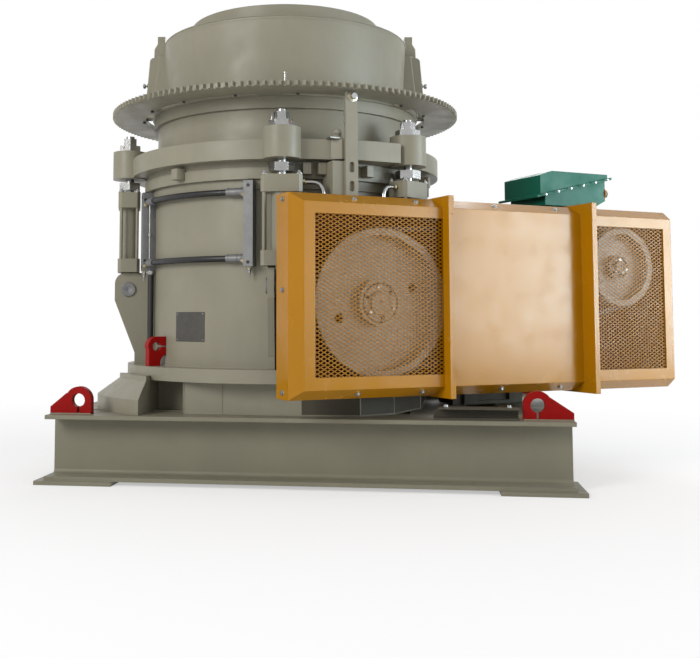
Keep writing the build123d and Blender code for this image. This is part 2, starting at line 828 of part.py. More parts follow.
def motor_body():
    """Finned motor lying along the countershaft's direction, with feet and fan cowl."""
    back = motor_front - motor_length
    core = motor_radius - fin_depth
    body = shaft_along_drive(core, back + cowl_length, motor_front, 0)
    body += shaft_along_drive(motor_radius, back, back + cowl_length, 0)
    body += shaft_along_drive(motor_radius - motor_collar_inset, motor_front - motor_collar_width,
                              motor_front, 0)
    body += shaft_along_drive(motor_nose_radius, motor_front, motor_front + motor_nose, 0)
    for i in range(fin_count):
        fin = box(core - fin_root, motor_radius, -(motor_front - fin_setback), -(back + cowl_length),
                  -fin_thickness / 2, fin_thickness / 2)
        body += Rot(0, i * 360 / fin_count, 0) * fin
    half = motor_foot_width / 2
    reach = motor_foot_length / 2
    for side in (-1, 1):
        xs = sorted((side * (half - motor_foot_pad), side * half))
        body += box(xs[0], xs[1], -foot_middle - reach, -foot_middle + reach,
                    -motor_foot_height, -motor_foot_height + motor_foot_plate)
        for end in (-1, 1):
            y = -foot_middle + end * (reach - motor_leg_place)
            body += box(xs[0] + motor_leg_inset, xs[1] - motor_leg_inset, y - motor_leg_depth / 2,
                        y + motor_leg_depth / 2, -motor_foot_height, -motor_leg_top)
    bore_end = motor_front - motor_shaft_depth - motor_bore_end
    body -= shaft_along_drive(motor_shaft_radius + run_gap, bore_end, motor_front + motor_nose + 1, 0)
    return Pos(motor_offset, 0, motor_height) * body


def terminal_box():
    """Cable box on a neck over the motor, with a deep lid on a slanting seam."""
    bottom = motor_height + motor_radius + terminal_rise
    top = bottom + terminal_height
    rise = (seam_right - seam_left) / (lid_right - lid_left)

    def seam(across):
        return bottom + seam_left + rise * (across - lid_left)

    base = Polyline((terminal_left, bottom), (terminal_right - 2 * terminal_chamfer, bottom),
                    (terminal_right, bottom + terminal_chamfer), (terminal_right, seam(terminal_right)),
                    (terminal_left, seam(terminal_left)), close=True)
    lid = Polyline((lid_left, seam(lid_left)), (lid_right, seam(lid_right)), (lid_right, top),
                   (lid_left + lid_slope_run, top), (lid_left, top - lid_slope), close=True)
    left, right = lid_left - seam_lip, lid_right + seam_lip
    lip = Polyline((left, seam(left) - seam_thickness / 2), (right, seam(right) - seam_thickness / 2),
                   (right, seam(right) + seam_thickness / 2), (left, seam(left) + seam_thickness / 2),
                   close=True)
    box_depth = terminal_length - seam_thickness
    lip_depth = terminal_length + seam_lip + seam_thickness / 2
    body = Pos(0, -seam_thickness / 2, 0) * extrude(Plane.XZ * make_face(base), box_depth)
    body += extrude(Plane.XZ * make_face(lid), terminal_length)
    body += Pos(0, seam_lip, 0) * extrude(Plane.XZ * make_face(lip), lip_depth)
    neck = box(-neck_half, neck_half, neck_inset - terminal_length, -neck_inset, motor_height, bottom)
    body = Pos(0, terminal_length - terminal_front, 0) * (body + neck)
    body -= shaft_along_drive(motor_radius + seat_gap, 0, terminal_front, motor_height)
    return Pos(motor_offset, 0, 0) * body


def motor_shaft():
    """The motor's shaft, from inside the motor to the small wheel's face."""
    return shaft_along_drive(motor_shaft_radius, motor_front - motor_shaft_depth,
                             sheave_front - sheave_hub_front, motor_height, motor_offset)


def motor_stand():
    """Welded stand: box of posts and panels, and a top plate that reaches out under the motor."""
    top = motor_height - motor_foot_height - rail_height
    plate_front = -stand_top_front
    stand = box(stand_left, stand_right, plate_front, plate_front + stand_depth, top - stand_plate, top)
    front, back = -stand_front, -stand_front + stand_leg_depth
    post = stand_post
    for x in (stand_left, stand_post_right - post):
        for y in (front, back - post):
            stand += box(x, x + post, y, y + post, base_top, top)
    wing = stand_left - stand_wing
    panel_back = front + stand_web + stand_panel
    stand += box(wing, stand_post_right, front + stand_web, panel_back, base_top, top)
    stand += box(wing, wing + stand_plate, front, panel_back, base_top, top)
    stand += box(stand_left, stand_post_right, front, back, base_top, base_top + stand_web)
    root = stand_post_right - stand_web_lap
    end = stand_right - stand_web
    web = make_face(Polyline((root, top - stand_web_lap), (end, top - stand_web_lap),
                             (end, top - stand_web_drop), (root, base_top + stand_web_drop), close=True))
    for y in (front, back - stand_web):
        stand += Pos(0, y + stand_web, 0) * extrude(Plane.XZ * web, stand_web)
    for side in (-1, 1):
        x = motor_offset + side * (motor_foot_width / 2 - rail_inset)
        stand += box(x - rail_width / 2, x + rail_width / 2, -foot_middle - rail_length / 2,
                     -foot_middle + rail_length / 2, top, top + rail_height)
    return stand


# Belt guard

def guard_outer(inset):
    """Outer form of the guard, moved in by inset on every side but the back."""
    left, right = guard_left + inset, guard_right - inset
    low, high = guard_bottom + inset, guard_top - inset
    edge, face = guard_edge - inset / 2, guard_face - inset
    case = box(left, right, -edge, -guard_back, low, high)
    first = Plane((0, -edge, 0), x_dir=(1, 0, 0), z_dir=(0, -1, 0))
    second = Plane((0, -face, 0), x_dir=(1, 0, 0), z_dir=(0, -1, 0))
    middle = Pos((left + right) / 2, (low + high) / 2)
    wide = middle * Rectangle(right - left, high - low)
    narrow = middle * Rectangle(right - left - 2 * guard_bevel, high - low - 2 * guard_rise_bevel)
    return case + loft([first * wide, second * narrow])


def guard_front():
    """Folded cover with bevelled edges, two windows and two ribs across its joints."""
    cover = guard_outer(0) - guard_outer(guard_sheet)
    for window in (left_window, right_window):
        cover -= box(window[0], window[1], -guard_face - 1, -guard_face + guard_rise_bevel,
                     window_bottom, window_top)
    low, high = guard_bottom - rib_overhang, guard_top + rib_overhang
    for place, reach in zip(rib_places, rib_reaches):
        front = -guard_face - reach
        rib = box(place, place + rib_thickness, front, -guard_back, low, high)
        for end in (low, high - rib_end_height):
            rib += box(place, place + rib_end_thickness, front, -guard_edge, end, end + rib_end_height)
        cover += rib - guard_outer(guard_sheet / 2)
    return cover


def guard_back_plate():
    """Flat back of the guard, open round both shafts, held on the countershaft housing."""
    plate = box(guard_left + guard_sheet + gasket, guard_right - guard_sheet - gasket,
                -guard_back - guard_sheet, -guard_back,
                guard_bottom + guard_sheet + gasket, guard_top - guard_sheet - gasket)
    start, end = guard_back - 1, guard_back + guard_sheet + 1
    plate -= shaft_along_drive(shaft_radius + shaft_hole_gap, start, end, shaft_height)
    plate -= shaft_along_drive(motor_nose_radius + nose_hole_gap, start, end, motor_height, motor_offset)
    return plate


def guard_mesh(window):
    """Flat sheet behind a window of the guard."""
    y = -guard_face + guard_sheet + seat_gap
    return box(window[0] - mesh_lap, window[1] + mesh_lap, y, y + mesh_thickness,
               window_bottom - mesh_lap, window_top + mesh_lap)


# Hydraulics and bracket

def manifold(angle):
    """Upright valve block against the shell, relieved behind for the band."""
    half = manifold_width / 2
    top = frame_top - manifold_drop
    bottom = top - manifold_height
    band_bottom = frame_top - seat_flange_height - band_height
    block = box(-half, half, -shell_radius - manifold_depth, -shell_radius + manifold_lap, bottom, top)
    block -= rod(shell_radius + seat_gap, bottom - 1, top + 1)
    block -= rod(band_radius + seat_gap, band_bottom - seat_gap, top + 1)
    return Rot(0, 0, angle) * block


def hose(drop):
    """Stiff hose that follows the shell from one valve block to the other."""
    height = frame_top - drop
    radius = band_radius + hose_clearance + hose_radius
    inset = degrees(asin((manifold_width / 2 + seat_gap) / (radius - hose_radius)))
    start = side_manifold_angle + inset - 90
    sweep = manifold_angle - side_manifold_angle - 2 * inset
    section = Plane.XZ * (Pos(radius, height) * Circle(hose_radius))
    return revolve(Rot(0, 0, start) * section, Axis.Z, sweep)


def slotted_bracket():
    """Upright strap with two slots, on a block that stands out from the frame's seat."""
    half = bracket_width / 2
    bottom = frame_top - bracket_drop
    top = frame_top + bracket_rise
    strap = box(-half, half, -bracket_radius - bracket_thickness, -bracket_radius, bottom, top)
    for rise in slot_heights:
        slot = SlotCenterToCenter(bracket_slot_length - bracket_slot_width, bracket_slot_width, 90)
        strap -= Pos(0, -bracket_radius + 1, bottom + rise) * extrude(Plane.XZ * slot, bracket_thickness + 2)
    block_top = ring_bottom - block_clearance
    block = box(block_left, block_right, -bracket_radius, -shell_radius, bottom, block_top)
    block -= rod(seat_flange_radius + seat_gap, bottom - 1, ring_bottom)
    return Rot(0, 0, bracket_angle) * (strap + block)


def build():
    save("base_front_beam", long_beam(-1))
    save("base_rear_beam", long_beam(1))
    for i, x in enumerate(cross_beam_places):
        save(f"base_cross_beam_{i + 1}", cross_beam(x))
    for name, side, front in (("front_left", -1, -1), ("front_right", 1, -1),
                              ("rear_left", -1, 1), ("rear_right", 1, 1)):
        save("base_lug_" + name, lifting_lug(side, front))
    save("base_rail", base_rail())
    save("pedestal_skirt", skirt())
    save("main_frame", turned(main_frame()))
    save("frame_flange", turned(frame_flange()))
    save("frame_hub", turned(frame_hub()))
    save("frame_foot_left", frame_foot(-1))
    save("frame_foot_right", frame_foot(1))
    save("frame_lug_left", turned(frame_lug(frame_lug_angle)))
    save("frame_lug_right", turned(frame_lug(-frame_lug_angle)))
    for i, angle in enumerate(cylinder_angles):
        save(f"tramp_cylinder_{i + 1}", turned(cylinder(angle)))
        save(f"cylinder_rod_{i + 1}", turned(cylinder_rod(angle)))
    save("adjustment_ring", turned(adjustment_ring()))
    save("bowl", turned(bowl()))
    save("drive_ring_gear", turned(ring_gear()))
    save("hopper_cap", turned(hopper_cap()))
    save("hopper_rim", turned(hopper_rim()))
    save("bowl_liner", turned(bowl_liner()))
    save("mantle", turned(mantle()))
    save("countershaft_housing", turned(countershaft_housing()))
    save("countershaft", turned(countershaft()))
    save("crusher_sheave", turned(crusher_sheave()))
    save("motor_sheave", turned(motor_sheave()))
    save("motor_shaft", turned(motor_shaft()))
    save("drive_belts", turned(drive_belts()))
    save("motor_body", turned(motor_body()))
    save("terminal_box", turned(terminal_box()))
    save("motor_stand", turned(motor_stand()))
    save("guard_front", turned(guard_front()))
    save("guard_back", turned(guard_back_plate()))
    save("guard_mesh_left", turned(guard_mesh(left_window)))
    save("guard_mesh_right", turned(guard_mesh(right_window)))
    save("manifold_front", turned(manifold(manifold_angle)))
    save("manifold_side", turned(manifold(side_manifold_angle)))
    save("hose_upper", turned(hose(upper_hose_drop)))
    save("hose_lower", turned(hose(lower_hose_drop)))
    save("slotted_bracket", turned(slotted_bracket()))


build()
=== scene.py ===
import bmesh
import bpy
import json
from math import asin, ceil, cos, pi, radians, sin
from mathutils import Matrix, Vector


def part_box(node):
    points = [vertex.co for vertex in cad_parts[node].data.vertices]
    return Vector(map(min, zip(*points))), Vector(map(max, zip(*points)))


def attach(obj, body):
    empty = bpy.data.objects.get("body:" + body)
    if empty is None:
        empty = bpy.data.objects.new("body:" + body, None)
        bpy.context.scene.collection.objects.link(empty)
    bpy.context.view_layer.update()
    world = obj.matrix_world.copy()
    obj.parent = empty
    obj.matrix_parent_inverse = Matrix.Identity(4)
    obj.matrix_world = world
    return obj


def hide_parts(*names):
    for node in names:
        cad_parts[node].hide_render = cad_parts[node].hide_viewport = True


# Metres throughout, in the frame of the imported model: the crusher's axis is the Z axis,
# +X runs along the front beam to the motor and -Y faces the photograph's side.

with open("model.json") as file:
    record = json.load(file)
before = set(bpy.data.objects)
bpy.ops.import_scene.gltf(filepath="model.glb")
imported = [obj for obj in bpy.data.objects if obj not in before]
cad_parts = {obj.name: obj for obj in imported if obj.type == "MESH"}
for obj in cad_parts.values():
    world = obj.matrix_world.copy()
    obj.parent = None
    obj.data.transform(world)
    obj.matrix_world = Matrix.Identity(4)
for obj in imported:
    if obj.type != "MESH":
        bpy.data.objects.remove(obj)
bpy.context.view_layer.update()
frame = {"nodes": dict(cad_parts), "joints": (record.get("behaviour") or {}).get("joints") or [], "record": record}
NODES = frame["nodes"]
JOINTS = {joint["name"]: joint for joint in frame["joints"]}

# The photograph's view
PHOTO_WIDTH = 700
PHOTO_HEIGHT = 658
FOCAL_PIXELS = 985.77
PRINCIPAL_X = 288.67
PRINCIPAL_Y = 240.18
CAMERA_PLACE = Vector((0.7957, -5.6511, 0.8295))
CAMERA_YAW = radians(-7.8)
CAMERA_PITCH = radians(4.43)
SENSOR = 36.0

# Directions of the drive: the countershaft's, and the one from the crusher to the motor
DRIVE = Vector(JOINTS["countershaft_spin"]["axis"])
ACROSS = Vector((-DRIVE.y, DRIVE.x, 0.0))
DRIVE_FRAME = Matrix((
    (ACROSS.x, -DRIVE.x, 0.0, 0.0),
    (ACROSS.y, -DRIVE.y, 0.0, 0.0),
    (0.0, 0.0, 1.0, 0.0),
    (0.0, 0.0, 0.0, 1.0),
))
FROM_DRIVE = DRIVE_FRAME.inverted()


def drive_box(node):
    """Lowest and highest corner of a CAD node in the drive's own frame."""
    points = [FROM_DRIVE @ v.co for v in NODES[node].data.vertices]
    return [Vector([pick(p[i] for p in points) for i in range(3)]) for pick in (min, max)]


def polar(angle, radius, height):
    """Point round the crusher's axis in the drive's frame, degrees from the countershaft."""
    return Vector((radius * sin(radians(angle)), -radius * cos(radians(angle)), height))


# Materials

DUST = (0.5, 0.47, 0.4)
TARNISH = (0.25, 0.22, 0.18)
RUST = (0.22, 0.1, 0.05)
RUBBER_BLOOM = (0.3, 0.28, 0.24)


class Nodes:
    """Shorthand for building one node material."""

    def __init__(self, name):
        self.material = bpy.data.materials.new(name)
        self.material.use_nodes = True
        self.tree = self.material.node_tree
        self.shader = self.tree.nodes["Principled BSDF"]
        self.coords = self.tree.nodes.new("ShaderNodeTexCoord")
        self.geometry = self.tree.nodes.new("ShaderNodeNewGeometry")

    def add(self, kind, inputs=None, **values):
        """New node, with numbers for its inputs by name and other settings."""
        node = self.tree.nodes.new(kind)
        for key, value in values.items():
            setattr(node, key, value)
        for key, value in (inputs or {}).items():
            node.inputs[key].default_value = value
        return node

    def link(self, out, into):
        self.tree.links.new(out, into)

    def noise(self, scale, detail=3.0, roughness=0.55, stretch=(1, 1, 1)):
        mapping = self.add("ShaderNodeMapping", {"Scale": stretch})
        self.link(self.coords.outputs["Object"], mapping.inputs["Vector"])
        node = self.add("ShaderNodeTexNoise",
                        {"Scale": scale, "Detail": detail, "Roughness": roughness})
        self.link(mapping.outputs["Vector"], node.inputs["Vector"])
        return node.outputs["Fac"]

    def ramp(self, value, low, high, start=0.0, end=1.0):
        node = self.add("ShaderNodeMapRange",
                        {"From Min": low, "From Max": high, "To Min": start, "To Max": end})
        self.link(value, node.inputs["Value"])
        return node.outputs["Result"]

    def feed(self, socket, value):
        """Sets a number or a colour, or links another node's output."""
        if isinstance(value, tuple):
            socket.default_value = (*value, 1.0)
        elif isinstance(value, float):
            socket.default_value = value
        else:
            self.link(value, socket)

    def mix(self, factor, first, second):
        """Mixes two colours, each an output or a colour."""
        node = self.add("ShaderNodeMix", data_type="RGBA")
        for number, value in ((0, factor), (6, first), (7, second)):
            self.feed(node.inputs[number], value)
        return node.outputs[2]

    def times(self, first, second):
        node = self.add("ShaderNodeMath", operation="MULTIPLY")
        self.feed(node.inputs[0], first)
        self.feed(node.inputs[1], second)
        return node.outputs[0]

    def facing_up(self):
        """0 on walls, 1 on faces that look straight up."""
        split = self.add("ShaderNodeSeparateXYZ")
        self.link(self.geometry.outputs["Normal"], split.inputs[0])
        return self.ramp(split.outputs["Z"], 0.35, 0.95)

    def soft_normal(self, radius):
        """Normal that turns softly round sharp edges."""
        return self.add("ShaderNodeBevel", {"Radius": radius}, samples=4).outputs["Normal"]

    def edges(self, normal):
        """1 close to a sharp edge, 0 on flat surfaces."""
        node = self.add("ShaderNodeVectorMath", operation="DOT_PRODUCT")
        self.link(normal, node.inputs[0])
        self.link(self.geometry.outputs["Normal"], node.inputs[1])
        return self.ramp(node.outputs["Value"], 0.985, 0.86)

    def bump(self, height, strength, distance, normal=None):
        node = self.add("ShaderNodeBump", {"Strength": strength, "Distance": distance})
        self.link(height, node.inputs["Height"])
        if normal is not None:
            self.link(normal, node.inputs["Normal"])
        self.link(node.outputs["Normal"], self.shader.inputs["Normal"])

    def surface(self, color, rough):
        self.link(color, self.shader.inputs["Base Color"])
        self.link(rough, self.shader.inputs["Roughness"])

    def set(self, **values):
        for key, value in values.items():
            self.shader.inputs[key.replace("_", " ")].default_value = value


def paint(name, color, rough=0.42, dust_amount=0.35, mottle=0.12, peel=0.25, gloss=0.5):
    """Sprayed machine paint: mottled, dusty where it faces up, worn on edges, with an orange peel."""
    m = Nodes(name)
    soft = m.soft_normal(0.004)
    dark = tuple(c * (1.0 - mottle) for c in color)
    light = tuple(min(1.0, c * (1.0 + mottle)) for c in color)
    base = m.mix(m.ramp(m.noise(3.1, 4.0), 0.3, 0.7), dark, light)
    streaks = m.ramp(m.noise(6.0, 5.0, 0.6, (3.0, 3.0, 0.35)), 0.45, 0.75)
    base = m.mix(m.times(streaks, mottle * 1.6), base, tuple(c * 0.72 for c in color))
    settled = m.times(m.facing_up(), m.ramp(m.noise(14.0, 5.0, 0.65), 0.25, 0.7))
    base = m.mix(m.times(settled, dust_amount), base, DUST)
    specks = m.ramp(m.noise(160.0, 2.0), 0.68, 0.74)
    base = m.mix(m.times(specks, 0.25), base, tuple(c * 0.55 for c in color))
    worn = m.times(m.edges(soft), m.ramp(m.noise(38.0, 4.0, 0.7), 0.48, 0.62))
    base = m.mix(m.times(worn, 0.45), base, tuple(min(1.0, c * 1.35 + 0.02) for c in color))
    m.surface(base, m.ramp(m.noise(9.0, 3.0), 0.3, 0.75, rough - 0.06, rough + 0.12))
    m.set(Metallic=0.0, Specular_IOR_Level=gloss)
    m.bump(m.noise(420.0, 2.0), peel, 0.0004, soft)
    return m.material


def metal(name, color, rough=0.25, tarnish_amount=0.25, metallic=1.0):
    """Bare metal with fine scratches and a little tarnish."""
    m = Nodes(name)
    base = m.mix(m.ramp(m.noise(22.0, 4.0), 0.35, 0.75), color, tuple(c * 0.82 for c in color))
    spots = m.ramp(m.noise(48.0, 5.0, 0.7), 0.58, 0.72)
    base = m.mix(m.times(spots, tarnish_amount), base, TARNISH)
    scratches = m.noise(90.0, 3.0, 0.6, (1.0, 1.0, 6.0))
    m.surface(base, m.ramp(scratches, 0.3, 0.7, rough * 0.75, rough * 1.5))
    m.set(Metallic=metallic)
    m.bump(m.noise(300.0, 2.0, 0.5, (1.0, 1.0, 8.0)), 0.2, 0.0003, m.soft_normal(0.0015))
    return m.material


def rubber(name, color, rough=0.5, bloom=0.25):
    """Black rubber with a dusty bloom."""
    m = Nodes(name)
    faded = tuple(c * 1.9 + bloom * 0.04 for c in color)
    base = m.mix(m.ramp(m.noise(30.0, 4.0), 0.4, 0.8), color, faded)
    base = m.mix(m.times(m.facing_up(), bloom), base, RUBBER_BLOOM)
    m.surface(base, m.ramp(m.noise(40.0), 0.3, 0.7, rough - 0.08, rough + 0.15))
    m.bump(m.noise(260.0, 2.0), 0.3, 0.0005)
    return m.material


def cast_steel(name, color, rough=0.55):
    """Rough manganese steel, brown where it has rusted."""
    m = Nodes(name)
    rust = m.ramp(m.noise(7.0, 6.0, 0.7), 0.45, 0.62)
    base = m.mix(rust, color, RUST)
    m.surface(base, m.ramp(m.noise(12.0), 0.3, 0.7, rough - 0.1, rough + 0.25))
    m.set(Metallic=0.55)
    m.bump(m.noise(60.0, 5.0, 0.7), 0.5, 0.002)
    return m.material


BODY = paint("body_paint", (0.27, 0.252, 0.188), dust_amount=0.16, mottle=0.07, gloss=0.35)
BASE = paint("base_paint", (0.215, 0.2, 0.142), rough=0.46, dust_amount=0.12, mottle=0.07,
             gloss=0.35)
# Painted shade: near-black paint for the motor stand, the base rail and the apron's drive side, which lie in the
# guard's shade.
UNDER_GUARD_SHADE = paint("under_guard_painted_shade", (0.085, 0.076, 0.056), rough=0.6, dust_amount=0.08, gloss=0.15)
RED = paint("red_paint", (0.3, 0.003, 0.002), dust_amount=0.03, mottle=0.08, gloss=0.12)
GUARD = paint("guard_paint", (0.43, 0.185, 0.002), rough=0.2, dust_amount=0.0, mottle=0.03,
              peel=0.12, gloss=0.24)
GUARD_MESH = paint("guard_mesh_paint", (0.45, 0.185, 0.002), rough=0.25, dust_amount=0.0,
                   mottle=0.04, gloss=0.25)
# Painted shade: dark brown paint on the guard's back plate stands for the dim inside of the guard seen through the
# mesh.
GUARD_PAINTED_SHADE = paint("guard_inside_painted_shade", (0.16, 0.03, 0.003), rough=0.6, dust_amount=0.0,
                     mottle=0.1, gloss=0.2)
GREEN = paint("motor_paint", (0.003, 0.128, 0.078), rough=0.48, dust_amount=0.02, mottle=0.06,
              gloss=0.22)
WHEEL = paint("wheel_paint", (0.42, 0.405, 0.345), dust_amount=0.1, mottle=0.1)
# Near black: the colour of the small screws and plugs, and painted shade in the ports, holes, grooves and grille
# gaps.
BLACK_AND_PAINTED_SHADE = paint("black_and_painted_shade", (0.022, 0.02, 0.017), rough=0.6, dust_amount=0.1)
PLATE = metal("bare_plate", (0.085, 0.08, 0.072), rough=0.38, metallic=0.6)
ORANGE = paint("orange_mark", (0.7, 0.19, 0.01), rough=0.45, dust_amount=0.1)
CHROME = metal("chrome", (0.37, 0.37, 0.365), rough=0.18)
ZINC = metal("zinc", (0.33, 0.327, 0.315), rough=0.3)
BRASS = metal("brass_zinc", (0.42, 0.35, 0.2), rough=0.28)
BLOCK = metal("valve_block", (0.2, 0.201, 0.203), rough=0.45, tarnish_amount=0.15, metallic=0.35)
STEEL = cast_steel("wear_steel", (0.16, 0.15, 0.14))
RUBBER = rubber("belt_rubber", (0.01, 0.01, 0.011))
HOSE = rubber("hose_rubber", (0.003, 0.003, 0.0035), rough=0.34, bloom=0.02)

FINISH = {
    "base_paint": BASE, "body_paint": BODY, "red_paint": RED, "guard_paint": GUARD,
    "guard_mesh": GUARD_MESH, "motor_green": GREEN, "wheel_paint": WHEEL, "block_metal": BLOCK,
    "chrome": CHROME, "wear_steel": STEEL, "belt_rubber": RUBBER, "hose_rubber": HOSE,
}
# The guard's back takes the dark brown paint as painted shade.
OWN_FINISH = {
    # The motor stand and the base rail take the near-black paint as painted shade.
    "motor_stand": UNDER_GUARD_SHADE, "base_rail": UNDER_GUARD_SHADE, "guard_back": GUARD_PAINTED_SHADE, "manifold_front": BLOCK,
}


def dress_nodes():
    """Gives every CAD node its finish."""
    slots = {part["node"]: part["material_slot"] for part in frame["record"]["subparts"]}
    for name, obj in NODES.items():
        obj.data.materials.clear()
        obj.data.materials.append(OWN_FINISH.get(name, FINISH[slots[name]]))


# Mesh making

BEVEL_ANGLE = radians(40)
SHARP_ANGLE = radians(38)
STEPS_PER_RUN = 6

# Washer and hexagon of a bolt: radius and height as shares of its size
WASHER = ((0.78, 0.0), (0.78, 0.12), (0.7, 0.16))
HEXAGON = ((0.577, 0.16), (0.577, 0.52), (0.5, 0.58))


class Piece:
    """One mesh made from simple solids, in the drive's frame unless plain is set."""

    def __init__(self, name, material, body="frame", plain=False):
        self.name = name
        self.material = material
        self.body = body
        self.matrix = Matrix.Identity(4) if plain else DRIVE_FRAME
        self.mesh = bmesh.new()

    def quad_loop(self, rings, closed=False):
        """Skins rings of points, each a list of the same length."""
        made = [[self.mesh.verts.new(p) for p in ring] for ring in rings]
        count = len(made[0])
        for a, b in zip(made, made[1:] + made[:1] if closed else made[1:]):
            for i in range(count):
                j = (i + 1) % count
                self.mesh.faces.new((a[i], a[j], b[j], b[i]))
        if not closed:
            self.mesh.faces.new(made[0][::-1])
            self.mesh.faces.new(made[-1])

    def box(self, low, high):
        x0, y0, z0 = low
        x1, y1, z1 = high
        ring = [(x0, y0), (x1, y0), (x1, y1), (x0, y1)]
        self.quad_loop([[(x, y, z) for x, y in ring] for z in (z0, z1)])

    def lathe(self, centre, axis, profile, sides):
        """Round piece from radius and height pairs along an axis."""
        axis = Vector(axis).normalized()
        level = abs(axis.z) < 0.99
        side = (axis.cross(Vector((0, 0, 1))) if level else axis.orthogonal()).normalized()
        other = axis.cross(side)
        self.quad_loop([[Vector(centre) + axis * height + (side * cos(a) + other * sin(a)) * radius
                         for a in turns(sides)] for radius, height in profile])

    def bolt(self, centre, axis, size=0.016, washer=True):
        """Hexagon head on a washer. size is across the flats."""
        if washer:
            self.lathe(centre, axis, [(size * r, size * h) for r, h in WASHER], 20)
        self.lathe(centre, axis, [(size * r, size * h) for r, h in HEXAGON], 6)

    def stud(self, centre, axis, size=0.016, length=0.02):
        """Threaded end that stands out of a nut."""
        self.bolt(centre, axis, size)
        self.lathe(centre, axis, [(size * 0.3, 0.0), (size * 0.3, length),
                                  (size * 0.24, length + size * 0.1)], 12)

    def tube(self, points, radius, sides):
        """Round tube along a smooth line through the points."""
        line = smooth_line(points)
        rings = []
        normal = None
        for i, p in enumerate(line):
            ahead = line[min(i + 1, len(line) - 1)] - line[max(i - 1, 0)]
            ahead.normalize()
            if normal is None:
                normal = ahead.orthogonal().normalized()
            normal = (normal - ahead * normal.dot(ahead)).normalized()
            side = ahead.cross(normal)
            rings.append([p + (normal * cos(a) + side * sin(a)) * radius for a in turns(sides)])
        self.quad_loop(rings)

    def rib(self, angle, outline, half):
        """Upright plate toward the crusher's axis, from radius and height pairs."""
        self.quad_loop([[polar(angle, radius, height) + sideways(angle) * side
                         for radius, height in outline] for side in (-half, half)])

    def finish(self, bevel=0.0):
        """Makes the object, lays it in the world's frame and lets it ride on its body."""
        self.mesh.transform(self.matrix)
        bmesh.ops.recalc_face_normals(self.mesh, faces=self.mesh.faces)
        data = bpy.data.meshes.new(self.name)
        self.mesh.to_mesh(data)
        self.mesh.free()
        obj = bpy.data.objects.new(self.name, data)
        bpy.context.scene.collection.objects.link(obj)
        data.materials.append(self.material)
        if bevel > 0:
            modifier = obj.modifiers.new("edge", "BEVEL")
            modifier.width = bevel
            modifier.segments = 2
            modifier.limit_method = "ANGLE"
            modifier.angle_limit = BEVEL_ANGLE
        for face in data.polygons:
            face.use_smooth = True
        data.set_sharp_from_angle(angle=SHARP_ANGLE)
        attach(obj, self.body)
        return obj


def turns(count):
    """Evenly spaced angles round a circle, in radians."""
    return [2 * pi * i / count for i in range(count)]


def smooth_line(points):
    """Catmull-Rom line through the points."""
    points = [Vector(p) for p in points]
    ends = [points[0] * 2 - points[1]] + points + [points[-1] * 2 - points[-2]]
    line = []
    for i in range(1, len(ends) - 2):
        a, b, c, d = ends[i - 1:i + 3]
        for k in range(STEPS_PER_RUN):
            t = k / STEPS_PER_RUN
            line.append(0.5 * ((2 * b) + (c - a) * t + (2 * a - 5 * b + 4 * c - d) * t * t
                               + (3 * b - a - 3 * c + d) * t ** 3))
    line.append(points[-1])
    return line


# Details on the crusher

UP = Vector((0.0, 0.0, 1.0))
FRONT = Vector((0.0, -1.0, 0.0))
SHELL = 0.77
FLANGE_TOP = 0.57
BASE_TOP = 0.34
GEAR_BOTTOM = 1.952
GEAR_TOP = 1.978
CYLINDER_ANGLES = (-158.2, -105.4, -25.0, 21.8, 102.2, 155.0)
CYLINDER_CIRCLE = 0.893
FRONT_BLOCK = -36.7
SIDE_BLOCK = -93.5
BLOCK_BOTTOM = 1.078
BLOCK_TOP = 1.51
HOSE_CIRCLE = 0.809
HOSE_LEVELS = (1.455, 1.12)

# Round profiles: radius and height pairs along the axis
BLEED_VALVE = ((0.011, -0.001), (0.011, 0.008), (0.0085, 0.01), (0.0085, 0.019), (0.004, 0.021),
               (0.004, 0.031), (0.0055, 0.033), (0.0015, 0.047))
PAINT_MARK = ((0.0045, -0.004), (0.0045, 0.006), (0.003, 0.008))
BLOCK_NIPPLE = ((0.0115, -0.002), (0.0115, 0.01), (0.008, 0.012), (0.008, 0.024), (0.0055, 0.026),
                (0.002, 0.046))
BLOCK_COLLAR = ((0.014, -0.001), (0.014, 0.007), (0.012, 0.009))
BLOCK_PORT = ((0.0085, -0.001), (0.0085, 0.0012), (0.007, 0.0014))
BLOCK_UNION = ((0.011, -0.001), (0.011, 0.007), (0.0095, 0.009), (0.005, 0.01), (0.005, 0.014))
BLOCK_PLUG = ((0.012, -0.001), (0.012, 0.006), (0.01, 0.008))
BLOCK_SCREW = ((0.009, -0.001), (0.009, 0.002), (0.006, 0.0022))
LINK_UNION = ((0.0055, -0.001), (0.01, 0.001), (0.01, 0.016), (0.0055, 0.018))
DRAIN_COLLAR = ((0.016, -0.01), (0.0205, -0.009), (0.0205, 0.01), (0.019, 0.012))
DRAIN_FOOT = ((0.024, 0.0), (0.024, 0.012), (0.018, 0.016), (0.018, 0.03))
ELBOW_NUT = ((0.016, -0.002), (0.016, 0.012), (0.014, 0.014), (0.01, 0.015), (0.01, 0.024))
PIVOT_WASHER = ((0.029, -0.002), (0.029, 0.003), (0.027, 0.004))
PIVOT_BUSH = ((0.0225, 0.0), (0.0225, 0.006), (0.021, 0.007))
PIVOT_HEAD = ((0.0185, 0.004), (0.0185, 0.017), (0.016, 0.0195))
BRACKET_SCREW = ((0.0065, -0.001), (0.0065, 0.005), (0.005, 0.007))
STOP_ROLL = ((0.02, 0.0), (0.0225, 0.002), (0.0225, 0.028), (0.02, 0.03))
PIN_CAP = ((0.036, -0.009), (0.04, -0.008), (0.04, 0.0), (0.037, 0.003), (0.01, 0.003),
           (0.007, 0.001))
GEAR_SCREW = ((0.0085, -0.001), (0.0085, 0.007), (0.007, 0.009))
GEAR_PIN = ((0.009, -0.001), (0.009, 0.004), (0.005, 0.006), (0.005, 0.034), (0.0085, 0.036),
            (0.0085, 0.044), (0.006, 0.047))
